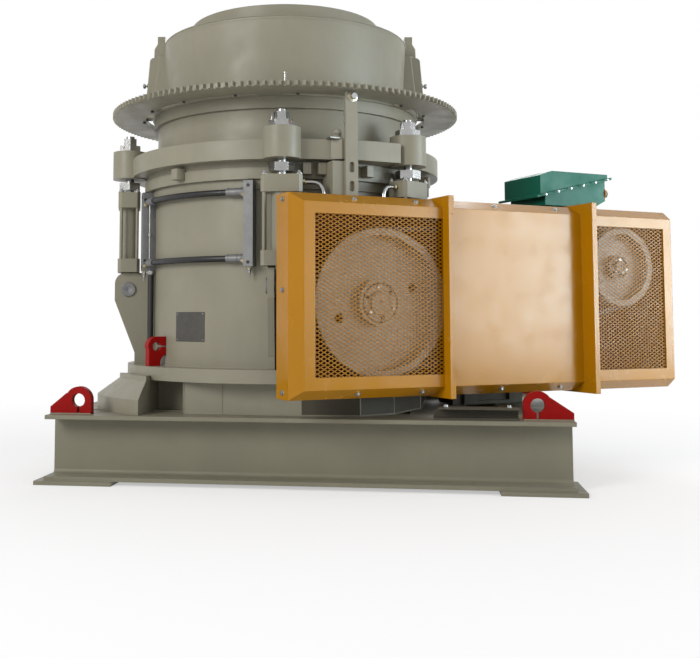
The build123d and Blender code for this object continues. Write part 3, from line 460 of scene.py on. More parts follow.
HANGER_WASHER = ((0.02, -0.004), (0.02, 0.002), (0.018, 0.003))
HANGER_NUT = ((0.0145, 0.002), (0.0145, 0.009), (0.0135, 0.01))
HANGER_HEAD = ((0.0065, 0.009), (0.0065, 0.018), (0.012, 0.019), (0.0145, 0.022), (0.0145, 0.03),
               (0.011, 0.034))
RIVET = ((0.0035, -0.001), (0.0035, 0.0006), (0.0018, 0.0018))


def outward(angle):
    return polar(angle, 1.0, 0.0)


def sideways(angle):
    return Vector((cos(radians(angle)), sin(radians(angle)), 0.0))


def arc(first, last, radius, height, steps):
    """Points round the crusher's axis from one angle to another."""
    return [polar(first + (last - first) * i / steps, radius, height) for i in range(steps + 1)]


NUT_TOP = 1.795
VALVE_ALONG = -0.048
MARK_PLACE = (0.0455, 0.0335, -0.013)
MARK_SUNK = 0.003
NUT_FACE = (0.0285, 0.0493)


def rod_fittings():
    """Bleed valve and paint mark on each rod's upper nut."""
    valves = Piece("bleed_valves", ZINC, "ring_and_rods")
    marks = Piece("paint_marks", ORANGE, "ring_and_rods")
    for angle in CYLINDER_ANGLES:
        along, out = sideways(angle), outward(angle)
        centre = polar(angle, CYLINDER_CIRCLE, NUT_TOP)
        valves.lathe(centre + along * VALVE_ALONG, UP, BLEED_VALVE, 12)
        face = (along * NUT_FACE[0] + out * NUT_FACE[1]).normalized()
        mark = centre + along * MARK_PLACE[0] + out * MARK_PLACE[1] + UP * MARK_PLACE[2]
        marks.lathe(mark - face * MARK_SUNK, face, PAINT_MARK, 10)
    valves.finish()
    marks.finish()


HEAD_TOP = 1.523
TIE_ROD_ALONG = 0.0855
TIE_ROD_OUT = 0.044
TIE_ROD_NUT = 0.022
TIE_ROD_END = 0.017


def tie_rod_nuts():
    """Nuts of the four tie rods on each cylinder's upper head."""
    piece = Piece("tie_rod_nuts", ZINC)
    for angle in CYLINDER_ANGLES:
        centre = polar(angle, CYLINDER_CIRCLE, HEAD_TOP)
        for along in (-TIE_ROD_ALONG, TIE_ROD_ALONG):
            for out in (-TIE_ROD_OUT, TIE_ROD_OUT):
                place = centre + sideways(angle) * along + outward(angle) * out
                piece.stud(place, UP, TIE_ROD_NUT, TIE_ROD_END)
    piece.finish()


# Parts of a ferrule: first and last angle from the block's face, steps, radius and sides
BLOCK_HALF_ANGLE = 1.85
FERRULE = ((1.0, 6.4, 10, 0.0205, 18), (5.7, 6.6, 3, 0.0217, 18), (2.4, 2.9, 3, 0.0219, 18),
           (0.0, 1.2, 3, 0.0235, 6))


def hose_ferrules():
    """Crimped ferrules and union nuts where the two hoses meet the valve blocks."""
    piece = Piece("hose_ferrules", BLOCK)
    for height in HOSE_LEVELS:
        for block, side in ((FRONT_BLOCK, -1), (SIDE_BLOCK, 1)):
            start = block + side * BLOCK_HALF_ANGLE
            for first, last, steps, radius, sides in FERRULE:
                piece.tube(arc(start + side * first, start + side * last, HOSE_CIRCLE, height, steps),
                           radius, sides)
    piece.finish(bevel=0.0008)


NIPPLE_CIRCLES = ((FRONT_BLOCK, 0.806), (SIDE_BLOCK, 0.826))
NIPPLE_DROP = 0.008
PORT_LEVELS = (1.47, 1.135)
PORT_CIRCLE = 0.829
PORT_FACE = 0.025
UNION_DROP = 0.03
PLUG_CIRCLE = 0.812
BLOCK_FACE = 0.84
BLOCK_SCREW_LEVELS = (1.485, 1.1)


def block_fittings():
    """Plugs, nipples and unions on the two valve blocks."""
    bright = Piece("block_nipples", CHROME)
    brass = Piece("block_unions", BRASS)
    dark = Piece("block_ports", BLACK_AND_PAINTED_SHADE)
    for angle, radius in NIPPLE_CIRCLES:
        foot = polar(angle, radius, BLOCK_BOTTOM)
        bright.lathe(foot - UP * NIPPLE_DROP, -UP, BLOCK_NIPPLE, 14)
        brass.lathe(foot, -UP, BLOCK_COLLAR, 6)
    for angle, side in ((FRONT_BLOCK, -1), (SIDE_BLOCK, 1)):
        face = sideways(angle) * side
        for height in PORT_LEVELS:
            place = polar(angle, PORT_CIRCLE, height) + face * PORT_FACE
            # The dark discs at the ports are painted shade inside the openings.
            dark.lathe(place, face, BLOCK_PORT, 16)
            brass.lathe(place - UP * UNION_DROP, face, BLOCK_UNION, 6)
    for angle in (FRONT_BLOCK, SIDE_BLOCK):
        dark.lathe(polar(angle, PLUG_CIRCLE, BLOCK_TOP), UP, BLOCK_PLUG, 6)
        for height in BLOCK_SCREW_LEVELS:
            dark.lathe(polar(angle, BLOCK_FACE, height), outward(angle), BLOCK_SCREW, 6)
    bright.finish(bevel=0.0005)
    brass.finish(bevel=0.0005)
    dark.finish()


LINK_ANGLE = -90.4
LINK_CIRCLE = HOSE_CIRCLE - 0.001
LINK_RADIUS = 0.0055
LINK_END = 0.017
LINK_UNION_DROP = 0.02


def link_pipe():
    """Bright pipe that joins the unions of the side valve block."""
    piece = Piece("link_pipe", CHROME)
    high, low = HOSE_LEVELS
    middle = (low + high) / 2
    levels = (low + LINK_END, middle, high - LINK_END)
    piece.tube([polar(LINK_ANGLE, LINK_CIRCLE, level) for level in levels], LINK_RADIUS, 12)
    piece.lathe(polar(LINK_ANGLE, LINK_CIRCLE, middle - LINK_UNION_DROP), UP, LINK_UNION, 12)
    piece.finish()


DRAIN_ANGLE = -91.6
DRAIN_CIRCLE = 0.795
DRAIN_RADIUS = 0.0165
DRAIN_LEVELS = (BLOCK_BOTTOM - 0.008, 0.95, 0.75, 0.6)


def drain_hose():
    """Stout hose from the side valve block down to a fitting on the frame's flange."""
    hose = Piece("drain_hose", HOSE)
    collars = Piece("drain_hose_collars", CHROME)
    line = [polar(DRAIN_ANGLE, DRAIN_CIRCLE, level) for level in DRAIN_LEVELS]
    hose.tube(line, DRAIN_RADIUS, 16)
    for place, up in ((line[0], -UP), (line[-1], UP)):
        collars.lathe(place, up, DRAIN_COLLAR, 18)
    collars.lathe(polar(DRAIN_ANGLE, DRAIN_CIRCLE, FLANGE_TOP + 0.0005), UP, DRAIN_FOOT, 6)
    hose.finish()
    collars.finish(bevel=0.0006)


# Pipe between a cylinder's heads, its bend as steps out of the head and toward the middle
PIPED_CYLINDERS = ((-25.0, 1), (21.8, -1))
PIPE_LEVELS = (1.488, 1.112)
PIPE_START = 0.1025
PIPE_RADIUS = 0.0105
PIPE_BEND = ((0.015, 0.0), (0.045, 0.0), (0.074, 0.006), (0.096, 0.028), (0.104, 0.07))


def head_pipes():
    """Bright elbows that link the two heads of the front cylinders."""
    bright = Piece("head_pipes", CHROME)
    brass = Piece("head_pipe_nuts", BRASS)
    for angle, side in PIPED_CYLINDERS:
        face = sideways(angle) * side
        start = polar(angle, CYLINDER_CIRCLE, 0.0) + face * PIPE_START
        high, low = [start + UP * level for level in PIPE_LEVELS]
        for origin in (high, low):
            brass.lathe(origin, face, ELBOW_NUT, 6)
        down = [high + face * out - UP * drop for out, drop in PIPE_BEND]
        middle = (high + low) / 2 + face * PIPE_BEND[-1][0]
        up = [low + face * out + UP * drop for out, drop in reversed(PIPE_BEND)]
        bright.tube([*down, middle, *up], PIPE_RADIUS, 14)
    bright.finish()
    brass.finish(bevel=0.0005)


BRACKET_ANGLE = -3.4
PIVOT_CIRCLE = 0.941
PIVOT_LEVEL = 1.921
PIVOT_ALONG = 0.004
PIVOT_HEAD_ALONG = 0.003
BRACKET_SCREW_CIRCLE = 0.933
BRACKET_SCREW_ALONG = 0.0335
BRACKET_SCREW_LEVELS = (1.792, 1.832)
STOP_PLATE = ((-0.16, -0.911, 1.7088), (-0.092, -0.866, 1.7165))
STOP_CENTRE = (-0.118, -0.908, 1.7385)
STOP_BLOCK = ((-0.1385, -0.908, 1.716), (-0.0975, -0.878, 1.738))


def bracket_fittings():
    """Pivot bolt in the slotted bracket, and the stop beside it on the ring."""
    out, along = outward(BRACKET_ANGLE), sideways(BRACKET_ANGLE)
    bolt = Piece("bracket_bolt", ZINC)
    brass = Piece("bracket_bush", BRASS)
    face = polar(BRACKET_ANGLE, PIVOT_CIRCLE, PIVOT_LEVEL) + along * PIVOT_ALONG
    bolt.lathe(face, out, PIVOT_WASHER, 28)
    brass.lathe(face, out, PIVOT_BUSH, 24)
    bolt.lathe(face + along * PIVOT_HEAD_ALONG, out, PIVOT_HEAD, 6)
    for height in BRACKET_SCREW_LEVELS:
        left = polar(BRACKET_ANGLE, BRACKET_SCREW_CIRCLE, height) - along * BRACKET_SCREW_ALONG
        bolt.lathe(left, -along, BRACKET_SCREW, 6)
    bolt.finish(bevel=0.0006)
    brass.finish()
    plate = Piece("ring_stop_plate", ZINC, "ring_and_rods")
    plate.box(*STOP_PLATE)
    plate.finish(bevel=0.001)
    stop = Piece("ring_stop", BODY, "ring_and_rods")
    stop.lathe(STOP_CENTRE, -FRONT, STOP_ROLL, 24)
    stop.box(*STOP_BLOCK)
    stop.finish(bevel=0.0012)


# Plates under the flange: corners of one half in the world's frame, the other is turned half
# round. Those past APRON_SHADE stand under the guard and carry near-black paint as painted shade.
APRON_CORNERS = ((-0.8, -0.3), (-0.76, -0.46), (-0.43, -0.5), (-0.415, -0.735),
                 (-0.214, -0.742), (0.19, -0.775), (0.48, -0.752), (0.64, -0.61),
                 (0.77, -0.3))
APRON_SHADE = 0.18
APRON_BOTTOM = 0.3405
APRON_TOP = 0.5015
APRON_WALL = 0.012
APRON_WELD_GAP = 0.004


def skirt_apron():
    """Welded plates between the frame's flange and the base, outside the inner skirt."""
    front = Piece("skirt_apron", BODY, plain=True)
    # The apron's plates under the guard take the near-black paint as painted shade.
    drive = Piece("skirt_apron_drive", UNDER_GUARD_SHADE, plain=True)
    half = [Vector((x, y, 0.0)) for x, y in APRON_CORNERS]
    corners = half + [-corner for corner in half]
    for corner, after in zip(corners, corners[1:] + corners[:1]):
        inward = UP.cross((after - corner).normalized()) * APRON_WALL
        outline = (corner, after, after + inward, corner + inward)
        piece = drive if min(corner.x, after.x) > APRON_SHADE else front
        piece.quad_loop([[point + UP * z for point in outline] for z in (APRON_BOTTOM, APRON_TOP)])
    front.finish(bevel=0.0015)
    drive.finish(bevel=0.0015)
    seams = Piece("apron_welds", BODY, plain=True)
    weld(seams, [corner + UP * (APRON_BOTTOM + 0.001) for corner in corners], 0.005, closed=True)
    for corner in corners:
        weld(seams, [corner + UP * (APRON_BOTTOM + APRON_WELD_GAP),
                     corner + UP * (APRON_TOP - APRON_WELD_GAP)], 0.004)
    seams.finish()


# Lifting lugs on the flange: distances out from the shell, and heights
FRAME_LUG_ANGLE = -80.5
LUG_HALF = 0.0225
LUG_NEAR = 0.0015
LUG_FOOT = 0.5703
LUG_EYE_OUT = 0.054
LUG_EYE_UP = 0.672
LUG_EYE = 0.025
LUG_EYE_STEPS = 24
LUG_HEAD = 0.052
LUG_STEM = 0.1
LUG_SHOULDER = 0.02
LUG_SLOT = 0.004
LUG_NOTCH = 0.034
LUG_NOTCH_FOOT = 0.01
LUG_NOTCH_TOP = 0.056


def split_lug(node, angle):
    """Lifting lug with a round head, a slot from its eye to the shell and a notch at its root."""
    outline = [(LUG_NOTCH, LUG_FOOT), (LUG_STEM, LUG_FOOT), (LUG_STEM, LUG_EYE_UP - LUG_SHOULDER)]
    for a in range(0, 91, 9):
        outline.append((LUG_EYE_OUT + LUG_HEAD * cos(radians(a)),
                        LUG_EYE_UP + LUG_HEAD * sin(radians(a))))
    outline += [(LUG_NEAR, LUG_EYE_UP + LUG_HEAD), (LUG_NEAR, LUG_EYE_UP + LUG_SLOT)]
    first = asin(LUG_SLOT / LUG_EYE)
    for k in range(LUG_EYE_STEPS + 1):
        a = first + (2 * pi - 2 * first) * k / LUG_EYE_STEPS
        outline.append((LUG_EYE_OUT - LUG_EYE * cos(a), LUG_EYE_UP + LUG_EYE * sin(a)))
    outline += [(LUG_NEAR, LUG_EYE_UP - LUG_SLOT), (LUG_NEAR, LUG_FOOT + LUG_NOTCH_TOP)]
    deep, tall = LUG_NOTCH - LUG_NEAR, LUG_NOTCH_TOP - LUG_NOTCH_FOOT
    for a in range(10, 91, 10):
        outline.append((LUG_NEAR + deep * sin(radians(a)),
                        LUG_FOOT + LUG_NOTCH_FOOT + tall * cos(radians(a))))
    piece = Piece(node + "_split", RED)
    piece.rib(angle, [(SHELL + out, up) for out, up in outline], LUG_HALF)
    obj = piece.finish(bevel=0.0012)
    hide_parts(node)


# Hangers of the hopper: outline of rib and ear as radius and height, half widths, bolt
HANGER_ANGLES = (66.0, -114.0)
HANGER_FOOT = ((0.715, 1.9785), (0.824, 1.9785), (0.803, 2.15), (0.789, 2.322), (0.776, 2.337),
               (0.715, 2.337))
HANGER_EAR = ((0.722, 2.33), (0.768, 2.337), (0.766, 2.394), (0.743, 2.433), (0.737, 2.462),
              (0.722, 2.462))
HANGER_PARTS = ((HANGER_FOOT, 0.043), (HANGER_EAR, 0.022))
HANGER_BOLT_CIRCLE = 0.799
HANGER_BOLT_LEVEL = 2.178


def hanger_ribs():
    """Outer rib of each hanger and the ear on its strap."""
    piece = Piece("hanger_ribs", BODY, "bowl_and_hopper")
    for angle in HANGER_ANGLES:
        for outline, half in HANGER_PARTS:
            piece.rib(angle, outline, half)
    piece.finish(bevel=0.004)


PIN_LEVEL = 0.98
PIN_END = 0.076


def pin_caps():
    """Discs that close the ends of the cylinders' foot pins."""
    piece = Piece("pin_caps", BLOCK)
    for angle in CYLINDER_ANGLES:
        for side in (-1, 1):
            face = polar(angle, CYLINDER_CIRCLE, PIN_LEVEL) + sideways(angle) * (side * PIN_END)
            piece.lathe(face, sideways(angle) * side, PIN_CAP, 40)
    piece.finish()


# Guides: angles round the shell, steps along with the cut of the corner, and reach
GUIDE_ANGLES = (-16.4, -11.1, 6.7, 44.0, 74.0, 128.0, 180.0, -132.0, -66.0)
GUIDE_STEPS = ((-0.024, 0.0), (0.016, 0.0), (0.026, 0.014))
GUIDE_NEAR = 0.806
GUIDE_FAR = 0.858
GUIDE_BOTTOM = 1.536
GUIDE_TOP = 1.594


def ring_guides():
    """Small guide blocks on the frame's seat flange, under the ring."""
    piece = Piece("ring_guides", BODY)
    for angle in GUIDE_ANGLES:
        rings = []
        for along, cut in GUIDE_STEPS:
            near = outward(angle) * GUIDE_NEAR + sideways(angle) * along
            far = outward(angle) * (GUIDE_FAR - cut) + sideways(angle) * along
            rings.append([near + UP * GUIDE_BOTTOM, far + UP * GUIDE_BOTTOM,
                          far + UP * GUIDE_TOP, near + UP * GUIDE_TOP])
        piece.quad_loop(rings)
    piece.finish(bevel=0.0015)


GEAR_SCREWS = 16
GEAR_SCREW_FIRST = 25.6
GEAR_SCREW_CIRCLE = 0.816
GEAR_PIN_ANGLES = (-24.0, 96.0, 216.0)
GEAR_PIN_CIRCLE = 0.962


def gear_screws():
    """Screws and upright pins of the toothed ring."""
    piece = Piece("gear_screws", BLACK_AND_PAINTED_SHADE, "bowl_and_hopper")
    for i in range(GEAR_SCREWS):
        angle = GEAR_SCREW_FIRST + i * 360 / GEAR_SCREWS
        piece.lathe(polar(angle, GEAR_SCREW_CIRCLE, GEAR_BOTTOM), -UP, GEAR_SCREW, 12)
    piece.finish()
    pin = Piece("gear_pins", CHROME, "bowl_and_hopper")
    for angle in GEAR_PIN_ANGLES:
        pin.lathe(polar(angle, GEAR_PIN_CIRCLE, GEAR_TOP), UP, GEAR_PIN, 12)
    pin.finish()


def hanger_bolts():
    """Round-headed bolt that stands out from each hanger, with its nut."""
    piece = Piece("hanger_bolts", ZINC, "bowl_and_hopper")
    for angle in HANGER_ANGLES:
        place = polar(angle, HANGER_BOLT_CIRCLE, HANGER_BOLT_LEVEL)
        for profile, sides in ((HANGER_WASHER, 20), (HANGER_NUT, 6), (HANGER_HEAD, 18)):
            piece.lathe(place, outward(angle), profile, sides)
    piece.finish()


# Bare plate: first and last angle, section as radius and height, and its rivets
PLATE_FIRST = -71.6
PLATE_LAST = -56.2
PLATE_STEPS = 12
PLATE_SECTION = ((0.7702, 0.7), (0.7722, 0.701), (0.7722, 0.852), (0.7702, 0.853))
RIVET_CIRCLE = 0.7721
RIVET_TURN = 0.8
RIVET_LEVELS = (0.71, 0.843)


def name_plate():
    """Bare dark plate with four rivets on the shell."""
    piece = Piece("bare_plate", PLATE)
    rings = []
    for i in range(PLATE_STEPS + 1):
        a = PLATE_FIRST + (PLATE_LAST - PLATE_FIRST) * i / PLATE_STEPS
        rings.append([polar(a, radius, height) for radius, height in PLATE_SECTION])
    piece.quad_loop(rings)
    piece.finish()
    rivets = Piece("plate_rivets", ZINC)
    for a in (PLATE_FIRST + RIVET_TURN, PLATE_LAST - RIVET_TURN):
        for z in RIVET_LEVELS:
            rivets.lathe(polar(a, RIVET_CIRCLE, z), outward(a), RIVET, 12)
    rivets.finish()


RIPPLE = 0.0075
RIPPLE_DIP = 0.86
BEAD_SIDES = 6


def along_line(line, step):
    """Evenly spaced points along a line of straight runs, both ends with them."""
    lengths = [(b - a).length for a, b in zip(line, line[1:])]
    total = sum(lengths)
    count = max(4, int(total / step))
    samples = []
    run, at = 0, 0.0
    for k in range(count + 1):
        want = total * k / count
        while run < len(lengths) - 1 and at + lengths[run] < want:
            at += lengths[run]
            run += 1
        samples.append(line[run].lerp(line[run + 1], min(1.0, (want - at) / lengths[run])))
    return samples


def weld(piece, points, width, closed=False):
    """Bead of overlapping ripples along a line of points."""
    line = [Vector(p) for p in points]
    if closed:
        line.append(line[0].copy())
    samples = along_line(line, RIPPLE)
    if closed:
        samples.pop()
    rings = []
    size = len(samples)
    for k, p in enumerate(samples):
        if closed:
            ahead = samples[(k + 1) % size] - samples[k - 1]
        else:
            ahead = samples[min(k + 1, size - 1)] - samples[max(k - 1, 0)]
        ahead.normalize()
        upright = abs(ahead.z) > 0.9
        first = ahead.orthogonal().normalized() if upright else ahead.cross(UP).normalized()
        second = ahead.cross(first)
        radius = width * (1.0 if k % 2 else RIPPLE_DIP)
        rings.append([p + (first * cos(a) + second * sin(a)) * radius for a in turns(BEAD_SIDES)])
    piece.quad_loop(rings, closed=closed)


def circle_points(radius, height):
    return arc(0, 360, radius, height, 120)[:-1]


# Round welds: radius, height and width of the bead
FRAME_WELDS = ((0.7715, 0.571, 0.006),)
HOPPER_WELDS = ((0.7015, 2.3875, 0.004), (0.5455, 2.3855, 0.005), (0.6805, 1.9785, 0.0045))
CROSS_BEAM_END = 0.6
BEAM_SEAM_SIDES = (-0.744, -0.756, 0.744, 0.756)
BEAM_SEAM_LEVELS = (0.04, 0.32)
BEAM_SEAM_ENDS = (-1.08, 1.489)


def welds():
    """Weld beads of the frame, the hopper and the base."""
    for name, body, beads in (("frame_welds", "frame", FRAME_WELDS),
                              ("hopper_welds", "bowl_and_hopper", HOPPER_WELDS)):
        piece = Piece(name, BODY, body)
        for radius, height, width in beads:
            weld(piece, circle_points(radius, height), width, closed=True)
        piece.finish()
    base = Piece("base_welds", BASE, plain=True)
    for node in NODES:
        low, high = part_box(node)
        if node.startswith("base_cross_beam"):
            for y in (-CROSS_BEAM_END, CROSS_BEAM_END):
                weld(base, [(x, y, BASE_TOP + 0.0005) for x in (low[0], high[0])], 0.004)
        if node.startswith("base_lug"):
            for y in (low[1], high[1]):
                weld(base, [(x, y, BASE_TOP + 0.001) for x in (low[0], high[0])], 0.0055)
    for y in BEAM_SEAM_SIDES:
        for z in BEAM_SEAM_LEVELS:
            weld(base, [(x, y, z) for x in BEAM_SEAM_ENDS], 0.003)
    base.finish()


RAIL_TOP = 0.398
RAIL_BOLT_Y = -0.828
RAIL_BOLT_PLACES = (0.893, 1.19)
RAIL_BOLT = 0.02
ANCHOR_LEVEL = 0.04
ANCHOR_PLACES = (-1.02, -0.86, 1.27, 1.43)
ANCHOR_SIDES = (-0.64, 0.64)
ANCHOR = 0.03


def base_bolts():
    """Bolts of the rail and the base's anchor studs."""
    piece = Piece("base_bolts", ZINC, plain=True)
    for x in RAIL_BOLT_PLACES:
        piece.bolt((x, RAIL_BOLT_Y, RAIL_TOP), UP, RAIL_BOLT)
    for x in ANCHOR_PLACES:
        for y in ANCHOR_SIDES:
            piece.stud((x, y, ANCHOR_LEVEL), UP, ANCHOR, ANCHOR)
    piece.finish(bevel=0.0005)


# Wheels and motor

# Hubs: name, body, place across and up, radius of the bush
HUBS = (("large", "countershaft_and_wheel", 0.0, 0.895, 0.058),
        ("small", "motor_shaft_and_wheel", 1.472, 1.095, 0.034))
HUB_FRONT = -1.115
BUSH_BORE = ((0.01, 0.009), (0.006, 0.005))
GROOVE_SHARE = 1.62
GROOVE = ((-0.006, 0.0), (-0.005, 0.0012), (0.001, 0.0012), (0.002, 0.0))
HUB_HOLE = ((0.011, -0.001), (0.011, 0.002), (0.008, 0.0022))
HUB_SCREW_SHARE = 1.26
HUB_SCREW = 0.016
HUB_HOLE_FIRST = 40
HUB_SCREW_FIRST = 100


def spoke(angle):
    """Direction in the plane of the wheels, angle in radians from the motor's side."""
    return Vector((cos(angle), 0.0, sin(angle)))


def round_band(centre, radius, section, steps, face):
    """Rings of a round band: its section runs out from the radius and off the face."""
    return [[centre + out * (radius + r) + face * h for r, h in section]
            for out in map(spoke, turns(steps))]


def wheel_hubs():
    """Clamping bushes, their screws and the shadow grooves on both wheels' hubs."""
    for name, body, x, z, collar in HUBS:
        centre = Vector((x, HUB_FRONT, z))
        bush = Piece(name + "_hub_bush", WHEEL, body)
        bush.lathe(centre, FRONT,
                   [(collar, -0.001), (collar, 0.01), (collar - 0.003, 0.013),
                    (collar - 0.01, 0.013), (collar - 0.012, 0.009), *BUSH_BORE], 40)
        bush.finish(bevel=0.0008)
        dark = Piece(name + "_hub_groove", BLACK_AND_PAINTED_SHADE, body)
        # The dark band is a painted shadow in the gap round the bush.
        band = round_band(centre, collar * GROOVE_SHARE, GROOVE, 48, FRONT)
        dark.quad_loop(band, closed=True)
        # The dark discs are painted shade inside the bush's holes.
        for i in range(3):
            out = spoke(radians(HUB_HOLE_FIRST + 120 * i)) * (collar * HUB_SCREW_SHARE)
            dark.lathe(centre + out, FRONT, HUB_HOLE, 18)
        dark.finish()
        screws = Piece(name + "_hub_screws", ZINC, body)
        for i in range(3):
            out = spoke(radians(HUB_SCREW_FIRST + 120 * i)) * (collar * HUB_SCREW_SHARE)
            screws.bolt(centre + out, FRONT, HUB_SCREW, washer=False)
        screws.finish()


# Cable box: its sloping seam, and the gland on its side
SEAM_START = Vector((1.232, -0.7945, 1.51))
SEAM_SLOPE = 0.2392
SEAM_SCREWS = 6
SEAM_SCREW_FIRST = 1.25
SEAM_SCREW_PITCH = 0.089
SEAM_SCREW = 0.01
GLAND_CENTRE = (1.7025, -0.735, 1.5445)
GLAND_AXIS = (1, 0, 0)
GLAND = ((0.03, -0.001), (0.03, 0.008), (0.024, 0.01), (0.024, 0.026), (0.02, 0.03),
         (0.014, 0.032))
GLAND_RING = ((0.036, -0.001), (0.036, 0.004), (0.034, 0.005))


def terminal_fittings():
    """Seam screws and the cable gland of the cable box."""
    screws = Piece("terminal_screws", ZINC)
    for i in range(SEAM_SCREWS):
        x = SEAM_SCREW_FIRST + i * SEAM_SCREW_PITCH
        z = SEAM_START.z + (x - SEAM_START.x) * SEAM_SLOPE
        screws.bolt((x, SEAM_START.y, z), FRONT, SEAM_SCREW)
    screws.finish()
    gland = Piece("cable_gland", GREEN)
    ring = Piece("cable_gland_ring", ORANGE)
    gland.lathe(GLAND_CENTRE, GLAND_AXIS, GLAND, 6)
    ring.lathe(GLAND_CENTRE, GLAND_AXIS, GLAND_RING, 24)
    gland.finish(bevel=0.001)
    ring.finish()


# Motor: the centre of its fan cover, gaps and spokes of the grille, bolts and eye
FAN_CENTRE = Vector((1.472, -0.04, 1.095))
FAN_GAPS = 9
FAN_GAP_FIRST = 0.075
FAN_GAP_PITCH = 0.0205
FAN_GAP = ((-0.0055, 0.0), (-0.0055, 0.001), (0.0055, 0.001), (0.0055, 0.0))
FAN_SPOKES = 8
FAN_SPOKE_HALF = 0.006
FAN_SPOKE_PROUD = 0.004
FAN_SPOKE_REACH = (0.055, 0.252)
FAN_CAP = ((0.058, -0.001), (0.058, 0.004), (0.05, 0.006))
MOTOR_FEET = ((1.283, -0.3), (1.661, -0.3), (1.283, -0.72), (1.661, -0.72))
MOTOR_FOOT_TOP = 0.811
MOTOR_FOOT_NUT = 0.03
MOTOR_FOOT_END = 0.026
COVER_BOLTS = 8
COVER_BOLT_CIRCLE = 0.205
COVER_BOLT_Y = -0.86
COVER_BOLT = 0.022
EYE_PLACE = Vector((1.472, -0.3, 1.385))
EYE_FOOT = ((0.02, -0.006), (0.02, 0.006), (0.012, 0.01), (0.01, 0.024))
EYE_RISE = 0.046
EYE_CIRCLE = 0.022
EYE_BAR = 0.007
EYE_STEPS = 28
EYE_SIDES = 10


def eighth(i):
    """Angle of one of eight evenly spaced places, halfway between the axes."""
    return radians(22.5 + 45 * i)


def motor_fittings():
    """The fan's grille, foot and cover bolts, and the lifting eye of the motor."""
    back = -FRONT
    zinc = Piece("motor_bolts", ZINC)
    green = Piece("motor_grille", GREEN)
    dark = Piece("motor_fan_gap", BLACK_AND_PAINTED_SHADE)
    # Dark rings on the fan cover are painted shade in the grille's gaps.
    for k in range(FAN_GAPS):
        radius = FAN_GAP_FIRST + k * FAN_GAP_PITCH
        dark.quad_loop(round_band(FAN_CENTRE, radius, FAN_GAP, 60, back), closed=True)
    for i in range(FAN_SPOKES):
        side = spoke(eighth(i) + pi / 2) * FAN_SPOKE_HALF
        ends = [FAN_CENTRE + spoke(eighth(i)) * reach for reach in FAN_SPOKE_REACH]
        green.quad_loop([[p - side, p - side + back * FAN_SPOKE_PROUD,
                          p + side + back * FAN_SPOKE_PROUD, p + side] for p in ends])
    green.lathe(FAN_CENTRE, back, FAN_CAP, 40)
    green.finish()
    dark.finish()
    for x, y in MOTOR_FEET:
        zinc.stud((x, y, MOTOR_FOOT_TOP), UP, MOTOR_FOOT_NUT, MOTOR_FOOT_END)
    for i in range(COVER_BOLTS):
        place = FAN_CENTRE + spoke(eighth(i)) * COVER_BOLT_CIRCLE
        zinc.bolt(Vector((place.x, COVER_BOLT_Y, place.z)), FRONT, COVER_BOLT)
    zinc.finish()
    eye = Piece("motor_eye_bolts", GREEN)
    eye.lathe(EYE_PLACE, UP, EYE_FOOT, 18)
    rings = []
    for out in map(spoke, turns(EYE_STEPS)):
        middle = EYE_PLACE + UP * EYE_RISE + out * EYE_CIRCLE
        rings.append([middle + (out * cos(a) + back * sin(a)) * EYE_BAR for a in turns(EYE_SIDES)])
    eye.quad_loop(rings, closed=True)
    eye.finish()


# Guard

MESH_PITCH_ACROSS = 0.0355
MESH_PITCH_UP = 0.0196
MESH_STRAND = 0.005
MESH_DEPTH = 0.003
MESH_LEAN = 0.35
GUARD_BOLT = 0.018
TOP_BOLTS = (-0.1465, 0.1886, 0.652, 1.0334)
BOTTOM_BOLTS = (-0.1359, 0.2145, 0.6746, 1.04)
BEVEL_MIDDLE = -1.133
TOP_BEVEL = 1.381
BOTTOM_BEVEL = 0.471
BEVEL_LEAN = (-0.47, 0.88)
SIDE_BOLT_Y = -1.0286
SIDE_BOLT_HEIGHTS = (0.479, 0.952, 1.377)


def expanded_mesh(node):
    """Expanded metal in place of a plain sheet: rows of strands that meet at knots."""
    low, high = drive_box(node)
    piece = Piece(node + "_expanded", GUARD_MESH)
    columns = ceil((high.x - low.x) / MESH_PITCH_ACROSS)
    rows = ceil((high.z - low.z) / MESH_PITCH_UP)
    step_x = (high.x - low.x) / columns
    step_z = (high.z - low.z) / rows
    half = MESH_STRAND / 2
    for row in range(rows + 1):
        for lean in (-1, 1):
            rings = []
            for i in range(2 * columns + 1):
                knot = i % 2 == 0
                x = low.x + i * step_x / 2
                y = low.y + (0.0 if knot else MESH_DEPTH * MESH_LEAN)
                z = low.z + row * step_z + (0.0 if knot else lean * (step_z / 2))
                z = min(max(z, low.z + half), high.z - half)
                rings.append([(x, y, z - half), (x, y + MESH_DEPTH, z - half),
                              (x, y + MESH_DEPTH, z + half), (x, y, z + half)])
            piece.quad_loop(rings)
    obj = piece.finish()
    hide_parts(node)


def guard_bolts():
    """Bolts along the bevels and the sides of the guard."""
    low, high = drive_box("guard_front")
    piece = Piece("guard_bolts", ZINC)
    back, up = BEVEL_LEAN
    for top, bottom in zip(TOP_BOLTS, BOTTOM_BOLTS):
        piece.bolt((top, BEVEL_MIDDLE, TOP_BEVEL), (0, back, up), GUARD_BOLT)
        piece.bolt((bottom, BEVEL_MIDDLE, BOTTOM_BEVEL), (0, back, -up), GUARD_BOLT)
    for z in SIDE_BOLT_HEIGHTS:
        piece.bolt((low.x, SIDE_BOLT_Y, z), (-1, 0, 0), GUARD_BOLT)
        piece.bolt((high.x, SIDE_BOLT_Y, z), (1, 0, 0), GUARD_BOLT)
    piece.finish()


# Stage

FLOOR_REACH = 40.0
FLOOR_COLORS = ((0.8, 0.8, 0.79), (0.84, 0.84, 0.83))
FLOOR_SHADED = (0.6, 0.592, 0.588)
FLOOR_GLOW = 0.475
FLOOR_FADE = (1.8, 4.6)
WORLD_COLOR = (0.95, 0.97, 1.0, 1.0)
WORLD_STRENGTH = 0.44

